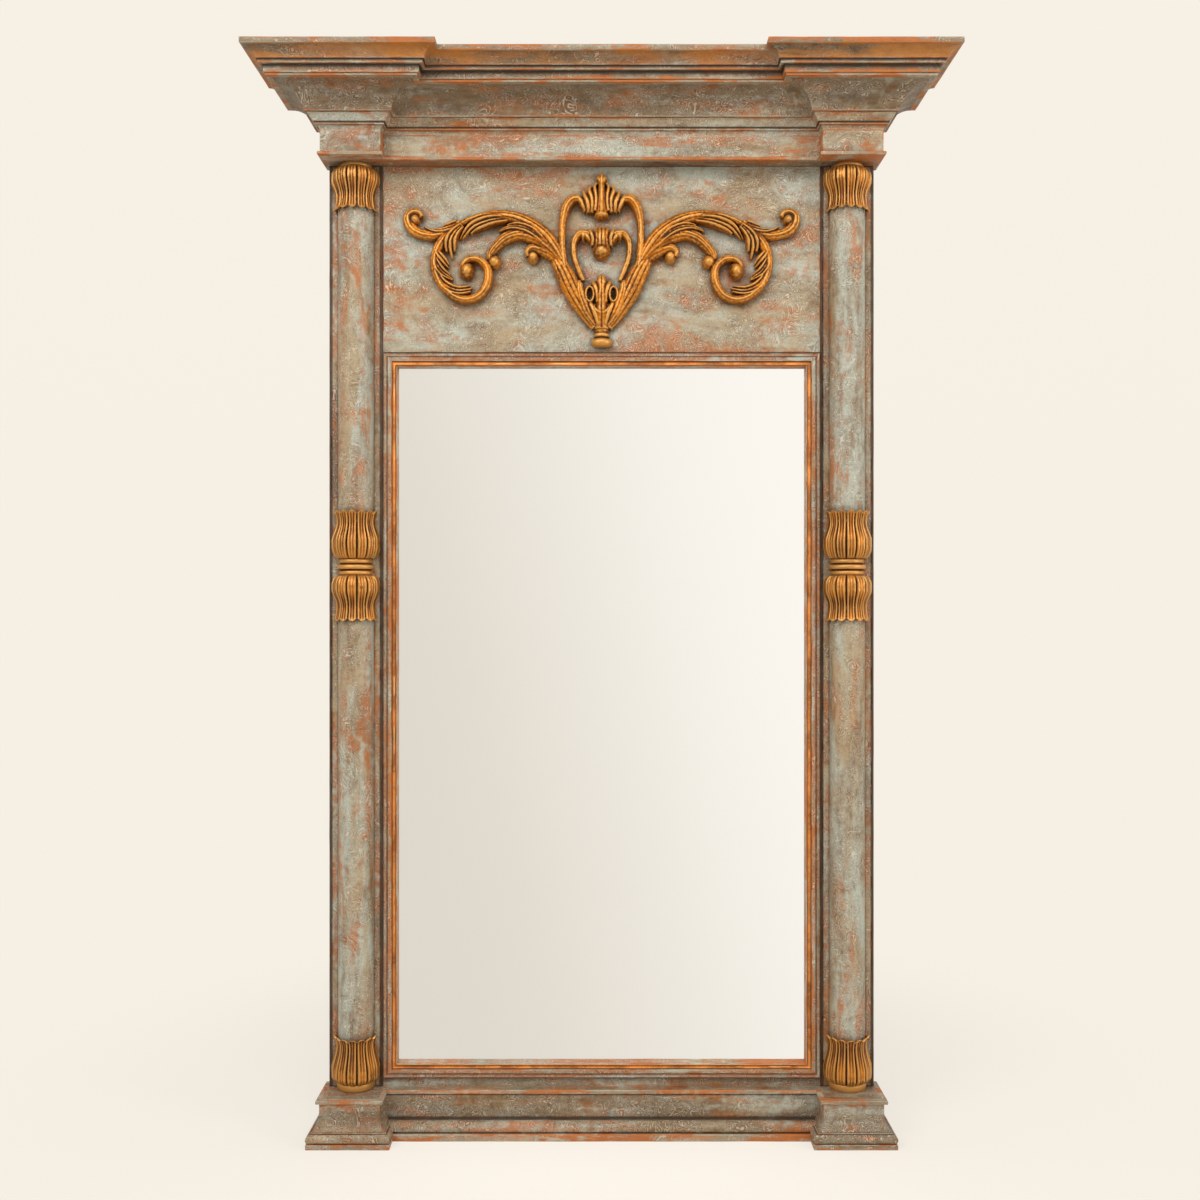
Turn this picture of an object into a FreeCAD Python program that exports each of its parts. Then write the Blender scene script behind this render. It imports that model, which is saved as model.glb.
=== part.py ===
import FreeCAD, Part
import math
import os
import re
import Sketcher

# Trumeau mirror: a tall glass in a painted architectural frame, with half-round columns, a
# breakfront cornice and a gilt carved crest. Millimetres; +X right, +Y into the wall, +Z up.
# The origin is on the floor, in the wall plane, on the centre line. The front faces -Y, and
# "proud" sizes are distances forward from the wall plane.

V = FreeCAD.Vector
Z_AXIS = V(0, 0, 1)
SIDES = (("left", -1), ("right", 1))

SIZES = (
    ("column_offset", 466, "centre line to a column's centre"),
    ("block_width", 112, "an end block, across its plain die"),
    ("plinth_height", 84.5, "floor to the top of the plinth"),
    ("soffit_level", 1832, "floor to the underside of the entablature"),
    ("stile_width", 102, "a stile board"),
    ("stile_thickness", 25, "a stile board"),
    ("tenon_width", 60, "tenons at both ends of a stile"),
    ("tenon_thickness", 12, "tenons and panel tongues"),
    ("tenon_setback", 6.5, "wall plane to a tenon's back"),
    ("tenon_length", 36, "how far a tenon enters"),
    ("panel_front", 22, "wall plane to the crest panel's face"),
    ("panel_thickness", 18, "crest panel"),
    ("tongue_depth", 10, "crest panel into the stile's groove"),
    ("frame_bottom", 101.5, "floor to the mirror moulding's outer edge"),
    ("frame_top", 1478, "floor to the mirror moulding's outer edge"),
    ("frame_width", 27, "mirror moulding, edge to edge"),
    ("frame_back", 4, "wall plane to the mirror moulding's back"),
    ("frame_proud", 33, "top of the mirror moulding's round"),
    ("frame_flat", 30, "the flat beside the round"),
    ("round_width", 9, "the mirror moulding's outer round"),
    ("bead_seat", 27, "wall plane to the bead's seat"),
    ("bead_start", 17.5, "outer edge of the moulding to the bead"),
    ("bead_width", 8, "gilt bead"),
    ("bead_height", 7.5, "gilt bead over its seat"),
    ("glass_front", 14, "wall plane to the glass face"),
    ("glass_thickness", 4, "mirror glass"),
    ("glass_lap", 8, "glass behind the moulding"),
    ("glass_clearance", 1, "glass edge to the rebate"),
    ("glazing_block_length", 60, "one glazing block"),
    ("glazing_block_width", 10, "one glazing block"),
    ("board_clearance", 1, "back board edge to its neighbours"),
    ("column_radius", 33.5, "half-round shaft"),
    ("socket_clearance", 0.3, "shaft in a tulip's mouth"),
    ("bulb_radius", 46, "tulips at their widest"),
    ("neck_radius", 36, "tulips at the neck"),
    ("rim_radius", 41, "tulips at the curled tips"),
    ("flute_depth", 3.6, "grooves between the petals"),
    ("tip_notch", 7, "notches between the petal tips"),
    ("base_tulip_height", 102, "plinth to the petal tips"),
    ("base_ring_radius", 36, "ring under a base tulip"),
    ("base_ring_height", 14.5, "ring under a base tulip"),
    ("mid_level", 1055, "floor to the mid collar's underside"),
    ("mid_upper_height", 92, "upper mid tulip"),
    ("mid_lower_height", 88, "lower mid tulip"),
    ("mid_foot_radius", 33, "mid tulips where they meet the collar"),
    ("capital_height", 91, "soffit to the capital's petal tips"),
    ("capital_ring_radius", 30.6, "ring over a capital"),
    ("capital_ring_height", 8, "ring over a capital"),
    ("collar_ring", 8.5, "height of one ring of the collar"),
    ("collar_gap", 2.5, "between two rings of the collar"),
    ("collar_radius", 32, "outer rings of the collar"),
    ("collar_mid_radius", 36, "middle ring of the collar"),
    ("collar_core_radius", 29, "at the bottom of a quirk between two rings"),
    ("block_face", 85, "entablature end block's die, proud"),
    ("centre_face", 55, "entablature centre's die, proud"),
    ("soffit_thickness", 6, "soffit board"),
    ("soffit_nosing", 4.5, "soffit board beyond the die"),
    ("frieze_height", 39, "plain frieze"),
    ("frieze_board", 22, "thickness of the centre's frieze board"),
    ("bed_height", 28, "bed mould"),
    ("bed_cove_height", 9, "small cove at its foot"),
    ("bed_cove_reach", 5, "small cove at its foot"),
    ("bed_fillet_height", 5, "thin fillet over the small cove"),
    ("bed_fillet_reach", 8, "thin fillet over the small cove"),
    ("bed_slope_foot", 10, "foot of the splayed band"),
    ("bed_reach", 20, "top of the splayed band"),
    ("cove_height", 46, "large cove mould"),
    ("cove_foot", 24, "foot of the large cove"),
    ("cove_mouth", 72, "mouth of the large cove"),
    ("cove_radius", 48, "hollow of the large cove"),
    ("cove_fillet_height", 4, "fillet over the large cove"),
    ("cove_fillet_reach", 80, "fillet over the large cove"),
    ("crown_height", 49, "crown mould"),
    ("fascia_height", 14, "fascia under the crown"),
    ("fascia_reach", 83, "fascia under the crown"),
    ("crown_fillet_height", 7, "fillet over the fascia"),
    ("crown_fillet_reach", 91, "fillet over the fascia"),
    ("crown_cove_height", 17.5, "crown's cove"),
    ("crown_cove_foot", 94, "crown's cove"),
    ("crown_cove_mouth", 114, "crown's cove"),
    ("crown_cove_radius", 22, "hollow of the crown's cove"),
    ("crown_reach", 116.5, "top fillet"),
    ("dust_board_thickness", 8, "board that closes the top"),
    ("dust_board_drop", 2, "top fillet to the dust board"),
    ("plinth_face", 90, "plinth die, proud"),
    ("cap_thickness", 7, "plinth cap"),
    ("cap_nosing", 6, "plinth cap beyond the die"),
    ("slab_height", 10, "plinth slab"),
    ("slab_reach", 21, "plinth slab beyond the die"),
    ("torus_height", 17, "plinth torus"),
    ("torus_reach", 20, "plinth torus beyond the die"),
    ("flare_foot", 14, "die's flare at its foot"),
    ("flare_height", 26, "die's flare"),
    ("flare_radius", 26, "hollow of the flare"),
    ("rail_thickness", 22, "bottom rail"),
    ("base_face", 40, "base rail's plain face, proud"),
    ("base_cap_nosing", 4, "base rail's cap beyond its face"),
    ("base_round_height", 18, "base rail's round"),
    ("base_round_reach", 26, "base rail's round beyond its face"),
    ("base_band_height", 13, "base rail's foot band"),
    ("base_band_reach", 33, "base rail's foot band beyond its face"),
    ("crest_level", 1487, "floor to the finial's tip"),
    ("crest_relief", 26, "carving over the panel, at its fullest"),
    ("finial_height", 34, "drop finial"),
    ("finial_radius", 21, "drop finial"),
    ("plate_width", 22, "hanger plate"),
    ("plate_height", 64, "hanger plate"),
    ("plate_thickness", 2, "hanger plate, let in flush"),
    ("plate_level", 1700, "floor to the middle of a hanger plate"),
    ("hang_hole_radius", 4, "hole for the wall hook"),
    ("hang_hole_depth", 12, "recess behind the hole"),
    ("screw_radius", 2, "screw shank"),
    ("screw_head", 4, "countersunk head radius"),
    ("screw_length", 16, "screw"),
)

document = FreeCAD.newDocument("trumeau_mirror")
sheet = document.addObject("Spreadsheet::Sheet", "Sizes")
for row, (alias, number, meaning) in enumerate(SIZES, 1):
    sheet.set("A%d" % row, meaning)
    sheet.set("B%d" % row, str(number))
    sheet.setAlias("B%d" % row, alias)
document.recompute()

pieces = []
mitred = []


def bound(expression):
    """The same expression, reading its words from the sheet."""
    return re.sub(r"[a-z][a-z_]+", r"Sizes.\g<0>", str(expression))


def size(expression):
    """What an expression comes to now, in millimetres."""
    return float(sheet.evalExpression(bound(expression)))


def keep(piece, label):
    """Name a finished sub-part and put it on the list of what is written."""
    piece.Label = label
    pieces.append(piece)
    return piece


def place(thing, x, y, z, turn=None):
    """Put an object at a point given by expressions, turned by a fixed rotation."""
    thing.Placement = FreeCAD.Placement(V(size(x), size(y), size(z)), turn or FreeCAD.Rotation())
    for axis, expression in zip("xyz", (x, y, z)):
        thing.setExpression("Placement.Base.%s" % axis, bound(expression))
    return thing


def arc_middle(start, end, radius, hand):
    """Middle of the short arc between two points; hand 1 bulges to the left of the way along."""
    along = end.sub(start)
    half = along.Length / 2
    sagitta = radius - math.sqrt(max(radius ** 2 - half ** 2, 0))
    left = V(-along.y, along.x, 0).normalize()
    return start.add(along.multiply(0.5)).add(left.multiply(hand * sagitta))


def outline(body, role, corners, setback=0):
    """A closed sketch through corners (x, y), each tied to the sheet. A corner with a radius and
    a hand starts an arc to the next corner."""
    sketch = body.newObject("Sketcher::SketchObject", body.Name + "Outline")
    plane = [feature for feature in body.Origin.OriginFeatures if feature.Role == role][0]
    sketch.AttachmentSupport = [(plane, "")]
    sketch.MapMode = "FlatFace"
    if setback:
        sketch.AttachmentOffset = FreeCAD.Placement(V(0, 0, size(setback)), FreeCAD.Rotation())
        sketch.setExpression("AttachmentOffset.Base.z", bound(setback))
    points = [V(size(corner[0]), size(corner[1]), 0) for corner in corners]
    ends = []
    for index, corner in enumerate(corners):
        start, end = points[index], points[(index + 1) % len(points)]
        if len(corner) == 2:
            ends.append((sketch.addGeometry(Part.LineSegment(start, end), False), 1, 2))
            continue
        middle = arc_middle(start, end, size(corner[2]), corner[3])
        edge = sketch.addGeometry(Part.Arc(start, middle, end), False)
        forward = corner[3] < 0
        ends.append((edge, 1 if forward else 2, 2 if forward else 1))
        number = sketch.addConstraint(Sketcher.Constraint("Radius", edge, size(corner[2])))
        sketch.setExpression("Constraints[%d]" % number, bound(corner[2]))
    for index, (edge, first, last) in enumerate(ends):
        following = ends[(index + 1) % len(ends)]
        sketch.addConstraint(Sketcher.Constraint("Coincident", edge, last, following[0], following[1]))
        for kind, expression in zip(("DistanceX", "DistanceY"), corners[index]):
            value = size(expression)
            number = sketch.addConstraint(Sketcher.Constraint(kind, -1, 1, edge, first, value))
            if re.search("[a-z]", str(expression)):
                sketch.setExpression("Constraints[%d]" % number, bound(expression))
    return sketch


def rectangle(left, low, right, high):
    """Corners of an upright rectangle."""
    return [(left, low), (right, low), (right, high), (left, high)]


def new_body(name):
    """An empty body."""
    return document.addObject("PartDesign::Body", name)


def pad(body, sketch, length, midplane=False):
    """Extrude a sketch, forward along its normal or to both sides."""
    feature = body.newObject("PartDesign::Pad", body.Name + "Pad")
    feature.Profile = sketch
    feature.Midplane = midplane
    feature.setExpression("Length", bound(length))
    sketch.Visibility = False
    return feature


def board(name, x, y, z, wide, deep, high):
    """A plain squared board, from its left, back, low corner; deep runs forward."""
    box = document.addObject("Part::Box", name)
    for prop, expression in (("Length", wide), ("Width", deep), ("Height", high)):
        box.setExpression(prop, bound(expression))
    return place(box, x, "-(%s) - (%s)" % (y, deep), z)


def joined(name, parts):
    """One solid from lengths glued at their mitres."""
    fusion = document.addObject("Part::MultiFuse", name)
    fusion.Shapes = parts
    fusion.Refine = True
    return fusion


def cut(name, base, tool):
    """A piece with another's seat taken out of it."""
    result = document.addObject("Part::Cut", name)
    result.Base = base
    result.Tool = tool
    return result


def moulding(name, section, length, ends, reach):
    """A length of moulding, centred along X at its back line, with its face to -Y. The section's
    points are (overhang, height). An end is 1 where the mitre runs out with the overhang,
    -1 where it runs in, and 0 where it is square."""
    body = new_body(name)
    reach = "(%s + 5)" % reach
    profile = [("-(%s)" % corner[0],) + tuple(corner[1:]) for corner in section]
    run = pad(body, outline(body, "YZ_Plane", profile), "%s + 2 * %s" % (length, reach), midplane=True)
    for way, end in zip((-1, 1), ends):
        tip = "%d * ((%s) / 2 + %d * %s)" % (way, length, end, reach)
        root = "%d * ((%s) / 2 - %d)" % (way, length, end)
        far = "%d * ((%s) / 2 + 2 * %s)" % (way, length, reach)
        corners = [(root, "1"), (tip, "-" + reach), (far, "-" + reach), (far, "1")]
        pocket = body.newObject("PartDesign::Pocket", name + "Mitre")
        pocket.Profile = outline(body, "XY_Plane", corners)
        pocket.Type = "ThroughAll"
        pocket.Midplane = True
        pocket.Profile[0].Visibility = False
        mitred.append((run, pocket))
        run = pocket
    return body


def wrap(name, section, reach, side, face, level, back, inner_end):
    """Three mitred lengths round the open sides of an end block: the outer return from the wall,
    the front, and the inner return, which stops where it meets the centre or the wall."""
    turns = {-1: FreeCAD.Rotation(Z_AXIS, -90), 1: FreeCAD.Rotation(Z_AXIS, 90)}
    front = moulding(name + "Front", section, "block_width", (1, 1), reach)
    place(front, "%d * column_offset" % side, "-(%s)" % face, level)
    outer = moulding(name + "Outer", section, face, (0, 1) if side < 0 else (1, 0), reach)
    outer_x = "%d * (column_offset + block_width / 2)" % side
    place(outer, outer_x, "-(%s) / 2" % face, level, turns[side])
    run = "(%s - (%s))" % (face, back)
    ends = (1, inner_end) if side < 0 else (inner_end, 1)
    inner = moulding(name + "Inner", section, run, ends, reach)
    inner_x = "%d * (column_offset - block_width / 2)" % side
    place(inner, inner_x, "-(%s + (%s)) / 2" % (face, back), level, turns[-side])
    return [front, outer, inner]


# Entablature. Each course is a centre length between two blocks, mitred into their inner returns.

FRIEZE_LEVEL = "soffit_level + soffit_thickness"
BED_LEVEL = FRIEZE_LEVEL + " + frieze_height"
COVE_LEVEL = BED_LEVEL + " + bed_height"
CROWN_LEVEL = COVE_LEVEL + " + cove_height"
TOP_LEVEL = CROWN_LEVEL + " + crown_height"
CORE_TOP = TOP_LEVEL + " - dust_board_drop - dust_board_thickness"

BED_SECTION = (
    (0, 0, "bed_cove_height * 1.2", 1),
    ("bed_cove_reach", "bed_cove_height"),
    ("bed_fillet_reach", "bed_cove_height"),
    ("bed_fillet_reach", "bed_cove_height + bed_fillet_height"),
    ("bed_slope_foot", "bed_cove_height + bed_fillet_height"),
    ("bed_reach", "bed_height"),
    (0, "bed_height"),
)
COVE_SECTION = (
    (0, 0),
    ("cove_foot", 0, "cove_radius", 1),
    ("cove_mouth", "cove_height - cove_fillet_height"),
    ("cove_fillet_reach", "cove_height - cove_fillet_height"),
    ("cove_fillet_reach", "cove_height"),
    (0, "cove_height"),
)
CROWN_FILLET_TOP = "fascia_height + crown_fillet_height"
CROWN_SECTION = (
    (0, 0),
    ("fascia_reach", 0),
    ("fascia_reach", "fascia_height"),
    ("crown_fillet_reach", "fascia_height"),
    ("crown_fillet_reach", CROWN_FILLET_TOP),
    ("crown_cove_foot", CROWN_FILLET_TOP, "crown_cove_radius", 1),
    ("crown_cove_mouth", CROWN_FILLET_TOP + " + crown_cove_height"),
    ("crown_reach", CROWN_FILLET_TOP + " + crown_cove_height"),
    ("crown_reach", "crown_height"),
    (0, "crown_height"),
)
COURSES = (
    ("bed_mould", BED_SECTION, "bed_reach", BED_LEVEL),
    ("cove_mould", COVE_SECTION, "cove_fillet_reach", COVE_LEVEL),
    ("crown_mould", CROWN_SECTION, "crown_reach", CROWN_LEVEL),
)
CENTRE_SPAN = "(2 * column_offset - block_width)"


def make_courses():
    """The bed, cove and crown moulds."""
    for label, section, reach, level in COURSES:
        name = label.title().replace("_", "")
        for word, side in SIDES:
            lengths = wrap(name + word, section, reach, side, "block_face", level, "centre_face", -1)
            keep(joined(name + word + "Mitred", lengths), "%s_%s" % (label, word))
        centre = moulding(name + "Centre", section, CENTRE_SPAN, (-1, -1), reach)
        keep(place(centre, 0, "-centre_face", level), label + "_centre")


def breakfront(name, nosing, level, thickness):
    """A board cut to the plan of the entablature, with a nosing beyond the dies."""
    outer = "column_offset + block_width / 2 + %s" % nosing
    inner = "column_offset - block_width / 2 - %s" % nosing
    front = "-(block_face + %s)" % nosing
    centre = "-(centre_face + %s)" % nosing
    corners = [
        ("-(%s)" % outer, 0), ("-(%s)" % outer, front), ("-(%s)" % inner, front),
        ("-(%s)" % inner, centre), (inner, centre), (inner, front), (outer, front), (outer, 0),
    ]
    body = new_body(name)
    pad(body, outline(body, "XY_Plane", corners), thickness)
    return place(body, 0, 0, level)


def make_cores(stiles):
    """The soffit board, the three frieze pieces that carry the moulds, and the dust board."""
    soffit = breakfront("Soffit", "soffit_nosing", "soffit_level", "soffit_thickness")
    keep(cut("SoffitBoard", soffit, stiles), "soffit_board")
    height = "(%s) - (%s)" % (CORE_TOP, FRIEZE_LEVEL)
    for word, side in SIDES:
        left = "%d * column_offset - block_width / 2" % side
        core = board("FriezeCore" + word, left, 0, FRIEZE_LEVEL, "block_width", "block_face", height)
        keep(cut("Frieze" + word, core, stiles), "frieze_" + word)
    centre = board("FriezeCentre", "-%s / 2" % CENTRE_SPAN, "centre_face - frieze_board", FRIEZE_LEVEL,
                   CENTRE_SPAN, "frieze_board", height)
    keep(centre, "frieze_centre")
    keep(breakfront("DustBoard", 0, CORE_TOP, "dust_board_thickness"), "dust_board")


# Stiles, crest panel and bottom rail: a framed carcass, tenoned and grooved together.

STILE_INNER = "(column_offset - stile_width / 2)"


def tongued(name, low, high, thickness, back, tongue_low, tongue_high):
    """A board between the stiles, with a tongue at each end that enters them."""
    body = new_body(name)
    face = outline(body, "XZ_Plane", rectangle("-" + STILE_INNER, low, STILE_INNER, high), back)
    pad(body, face, thickness)
    reach = "(%s + tongue_depth)" % STILE_INNER
    corners = rectangle("-" + reach, tongue_low, reach, tongue_high)
    pad(body, outline(body, "XZ_Plane", corners, "tenon_setback"), "tenon_thickness")
    return body


def make_carcass():
    """The crest panel, the bottom rail and the two stiles."""
    panel = tongued("CrestPanel", "frame_top", "soffit_level", "panel_thickness",
                    "panel_front - panel_thickness", "frame_top + tongue_depth",
                    "soffit_level - tongue_depth")
    keep(panel, "crest_panel")
    rail = tongued("BottomRailBlank", 0, "frame_bottom", "rail_thickness", 0,
                   "plinth_height + 3", "frame_bottom - 3")
    entering = joined("Entering", [panel, rail])
    stiles = []
    for word, side in SIDES:
        body = new_body("Stile" + word)
        half = "stile_width / 2"
        corners = rectangle("-" + half, "plinth_height", half, "soffit_level")
        pad(body, outline(body, "XZ_Plane", corners), "stile_thickness")
        corners = rectangle("-tenon_width / 2", "plinth_height - tenon_length",
                            "tenon_width / 2", "soffit_level + tenon_length")
        pad(body, outline(body, "XZ_Plane", corners, "tenon_setback"), "tenon_thickness")
        place(body, "%d * column_offset" % side, 0, 0)
        stiles.append(cut("Grooved" + word, body, entering))
    return stiles, rail


# Plinth blocks and base rail.

FLARE_TOP = "slab_height + torus_height + flare_height"
FLARE_SECTION = (
    (0, "slab_height + torus_height"),
    ("flare_foot", "slab_height + torus_height", "flare_radius", 1),
    ("flare_foot * 0.15", FLARE_TOP),
    (0, FLARE_TOP),
)
FOOT_SECTION = (
    (0, 0),
    ("slab_reach", 0),
    ("slab_reach", "slab_height"),
    ("torus_reach - 2", "slab_height", "torus_height * 0.9", -1),
    ("flare_foot", "slab_height + torus_height"),
    (0, "slab_height + torus_height"),
)
BASE_ROUND_TOP = "base_band_height + base_round_height"
BASE_SECTION = (
    ("rail_thickness", 0),
    ("base_face + base_band_reach", 0),
    ("base_face + base_band_reach", "base_band_height"),
    ("base_face + base_round_reach", "base_band_height", "base_round_height * 0.8", -1),
    ("base_face + 12", BASE_ROUND_TOP),
    ("base_face", BASE_ROUND_TOP),
    ("base_face", "plinth_height - cap_thickness"),
    ("base_face + base_cap_nosing", "plinth_height - cap_thickness"),
    ("base_face + base_cap_nosing", "plinth_height"),
    ("rail_thickness", "plinth_height"),
)


def make_plinths(stiles, bottom_rail):
    """A cap, a flared die and a foot under each column, and the rails scribed between them."""
    blocks = []
    for word, side in SIDES:
        centre = "%d * column_offset" % side
        left = centre + " - block_width / 2"
        cap = board("Cap" + word, left + " - cap_nosing", 0, "plinth_height - cap_thickness",
                    "block_width + 2 * cap_nosing", "plinth_face + cap_nosing", "cap_thickness")
        die = board("DieCore" + word, left, 0, "slab_height + torus_height", "block_width",
                    "plinth_face", "plinth_height - cap_thickness - slab_height - torus_height")
        flare = wrap("Flare" + word, FLARE_SECTION, "flare_foot", side, "plinth_face", 0, 0, 0)
        foot = board("FootCore" + word, left, 0, 0, "block_width", "plinth_face",
                     "slab_height + torus_height")
        mould = wrap("Foot" + word, FOOT_SECTION, "slab_reach", side, "plinth_face", 0, 0, 0)
        block = [cut("PlinthCap" + word, cap, stiles),
                 cut("PlinthDie" + word, joined("Die" + word, [die] + flare), stiles),
                 joined("PlinthFoot" + word, [foot] + mould)]
        for piece, role in zip(block, ("cap", "die", "foot")):
            keep(piece, "plinth_%s_%s" % (role, word))
        blocks += block
    seat = joined("Blocks", blocks)
    rail = moulding("BaseLength", BASE_SECTION, CENTRE_SPAN, (0, 0), "base_face + base_band_reach")
    keep(cut("BaseRail", rail, seat), "base_rail")
    keep(cut("BottomRail", bottom_rail, seat), "bottom_rail")


# Mirror moulding, gilt bead, glass and what holds the glass.

REBATE = "(frame_width - glass_lap)"
ROUND_RISE = "(frame_proud - frame_flat)"
ROUND_RADIUS = "round_width ^ 2 / 8 / %s + %s / 2" % (ROUND_RISE, ROUND_RISE)
FRAME_SECTION = (
    (0, "frame_back"),
    (0, "frame_flat", ROUND_RADIUS, -1),
    ("round_width", "frame_flat"),
    ("bead_start", "frame_flat"),
    ("bead_start", "bead_seat"),
    ("frame_width", "bead_seat"),
    ("frame_width", "glass_front"),
    (REBATE, "glass_front"),
    (REBATE, "frame_back"),
)
BEAD_SIDE = "bead_seat + bead_height - bead_width / 2"
BEAD_SECTION = (
    ("bead_start", "bead_seat"),
    ("bead_start", BEAD_SIDE, "bead_width / 2 * 1.001", -1),
    ("bead_start + bead_width", BEAD_SIDE),
    ("bead_start + bead_width", "bead_seat"),
)
FRAME_MIDDLE = "(frame_bottom + frame_top) / 2"
FRAME_HEIGHT = "(frame_top - frame_bottom)"
TIP_FORWARD = FreeCAD.Rotation(V(1, 0, 0), 90)


def mirror_lengths():
    """Word, length, place and turn of the four sides of the mirror moulding."""
    sides = (
        ("top", "2 * " + STILE_INNER, (0, 0, "frame_top"), 0),
        ("bottom", "2 * " + STILE_INNER, (0, 0, "frame_bottom"), 180),
        ("left", FRAME_HEIGHT, ("-" + STILE_INNER, 0, FRAME_MIDDLE), -90),
        ("right", FRAME_HEIGHT, (STILE_INNER, 0, FRAME_MIDDLE), 90),
    )
    for word, length, point, angle in sides:
        yield word, length, point, FreeCAD.Rotation(V(0, 1, 0), angle).multiply(TIP_FORWARD)


def make_mirror(screws):
    """Moulding and bead lengths, glass, glazing blocks and back board."""
    for word, length, point, turn in mirror_lengths():
        frame = moulding("Frame" + word, FRAME_SECTION, length, (-1, -1), "frame_width")
        place(frame, *point, turn)
        keep(cut("SightFrame" + word, frame, screws), "sight_frame_" + word)
        bead = moulding("Bead" + word, BEAD_SECTION, length, (-1, -1), "frame_width")
        keep(place(bead, *point, turn), "gilt_bead_" + word)
    inset = REBATE + " + glass_clearance"
    glass = board("Glass", "-%s + %s" % (STILE_INNER, inset), "glass_front - glass_thickness",
                  "frame_bottom + " + inset, "2 * (%s - %s)" % (STILE_INNER, inset.replace("+", "-")),
                  "glass_thickness", "%s - 2 * (%s)" % (FRAME_HEIGHT, inset))
    keep(glass, "mirror_glass")
    back = board("BackBoardBlank", "-%s + board_clearance" % STILE_INNER, 0,
                 "frame_bottom + board_clearance", "2 * (%s - board_clearance)" % STILE_INNER,
                 "frame_back", FRAME_HEIGHT + " - 2 * board_clearance")
    keep(cut("BackBoard", back, screws), "back_board")


def make_glazing_blocks():
    """Short blocks glued in the rebate behind the glass, four up each side and two across."""
    edge = size(STILE_INNER + " - " + REBATE)
    low = size("frame_bottom + " + REBATE)
    high = size("frame_top - " + REBATE)
    long, wide = size("glazing_block_length"), size("glazing_block_width")
    back = size("frame_back")
    deep = size("glass_front - glass_thickness") - back
    blocks = []
    for step in (0.12, 0.37, 0.63, 0.88):
        z = low + (high - low) * step - long / 2
        for x in (-edge, edge - wide):
            blocks.append(Part.makeBox(wide, deep, long, V(x, -back - deep, z)))
    for x in (-edge * 0.5 - long / 2, edge * 0.5 - long / 2):
        for z in (low, high - wide):
            blocks.append(Part.makeBox(long, deep, wide, V(x, -back - deep, z)))
    feature = document.addObject("Part::Feature", "GlazingBlocks")
    feature.Shape = Part.makeCompound(blocks)
    keep(feature, "glazing_blocks")


# Fixings: countersunk screws in the back board and in the two hanger plates.


def skin(rings, flat_back=False):
    """A solid of flat facets through closed rings of points, one above the other. With a flat
    back, each ring's last side lies in one plane, which is closed by a single face."""
    faces = []

    def facet(*points):
        if V(points[1]).sub(points[0]).cross(V(points[2]).sub(points[0])).Length > 1e-9:
            faces.append(Part.Face(Part.makePolygon(list(points) + [points[0]])))

    if flat_back:
        round_back = [ring[0] for ring in rings] + [ring[-1] for ring in reversed(rings)]
        faces.append(Part.Face(Part.makePolygon(round_back + [rings[0][0]])))
    for low, high in zip(rings, rings[1:]):
        for index, point in enumerate(low[:-1] if flat_back else low):
            after = (index + 1) % len(low)
            facet(point, low[after], high[after])
            facet(point, high[after], high[index])
    for ring in (rings[0], rings[-1]):
        middle = sum(ring[1:], V(ring[0])).multiply(1.0 / len(ring))
        for index, point in enumerate(ring):
            facet(middle, point, ring[(index + 1) % len(ring)])
    shell = Part.Shell(faces)
    shell.sewShape()
    solid = Part.Solid(shell)
    if solid.Volume < 0:
        solid.reverse()
    return solid


def screw_places():
    """Where each screw's head lies in the wall plane: back board first, then the hangers."""
    x = size(STILE_INNER) - size(REBATE) / 2
    low = size("frame_bottom") + size(REBATE) / 2
    high = size("frame_top") - size(REBATE) / 2
    for step in (0.08, 0.36, 0.64, 0.92):
        for side in (-1, 1):
            yield side * x, low + (high - low) * step
    for side in (-1, 1):
        yield side * x / 2, low
        yield side * x / 2, high
    for side in (-1, 1):
        for up in (-1, 1):
            rise = up * size("plate_height / 2 - screw_head - 4")
            yield side * size("column_offset"), size("plate_level") + rise


def make_screws():
    """Every screw, as one group of like solids, each with six sides."""
    head, shank, length = size("screw_head"), size("screw_radius"), size("screw_length")
    stations = ((head, 0), (shank, head - shank), (shank, length))
    screws = []
    for x, z in screw_places():
        rings = [[V(x + radius * math.cos(turn * math.pi / 3), -depth,
                    z + radius * math.sin(turn * math.pi / 3)) for turn in range(6)]
                 for radius, depth in stations]
        screws.append(skin(rings))
    feature = document.addObject("Part::Feature", "Screws")
    feature.Shape = Part.makeCompound(screws)
    return keep(feature, "fixing_screws")


def make_hangers(stiles, screws):
    """Steel plates let in flush behind the stiles, each with a hole for a wall hook."""
    blanks = []
    hooks = []
    for word, side in SIDES:
        left = "%d * column_offset - plate_width / 2" % side
        blanks.append(board("Plate" + word, left, 0, "plate_level - plate_height / 2",
                            "plate_width", "plate_thickness", "plate_height"))
        hook = document.addObject("Part::Cylinder", "Hook" + word)
        hook.setExpression("Radius", bound("hang_hole_radius"))
        hook.setExpression("Height", bound("hang_hole_depth"))
        turn = FreeCAD.Rotation(V(1, 0, 0), 90)
        hooks.append(place(hook, "%d * column_offset" % side, 0, "plate_level", turn))
    plates = joined("Plates", blanks)
    bored = joined("Bored", hooks + [screws])
    keep(cut("HangerPlates", plates, bored), "hanger_plates")
    for stile, (word, side) in zip(stiles, SIDES):
        recess = joined("Recess" + word, [plates] + hooks + [screws])
        keep(cut("Stile%sRecessed" % word, stile, recess), word + "_stile")


# Columns: half-round shafts between carved tulips, whose mouths they enter.


PETALS = 7
PETAL_DEPTHS = (1, 0, 0)


def half_ring(radius, level, steps):
    """Half a plain ring in front of the wall plane."""
    turns = [math.pi * step / steps for step in range(steps + 1)]
    return [V(radius * math.cos(turn), -radius * math.sin(turn), level) for turn in turns]


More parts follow.
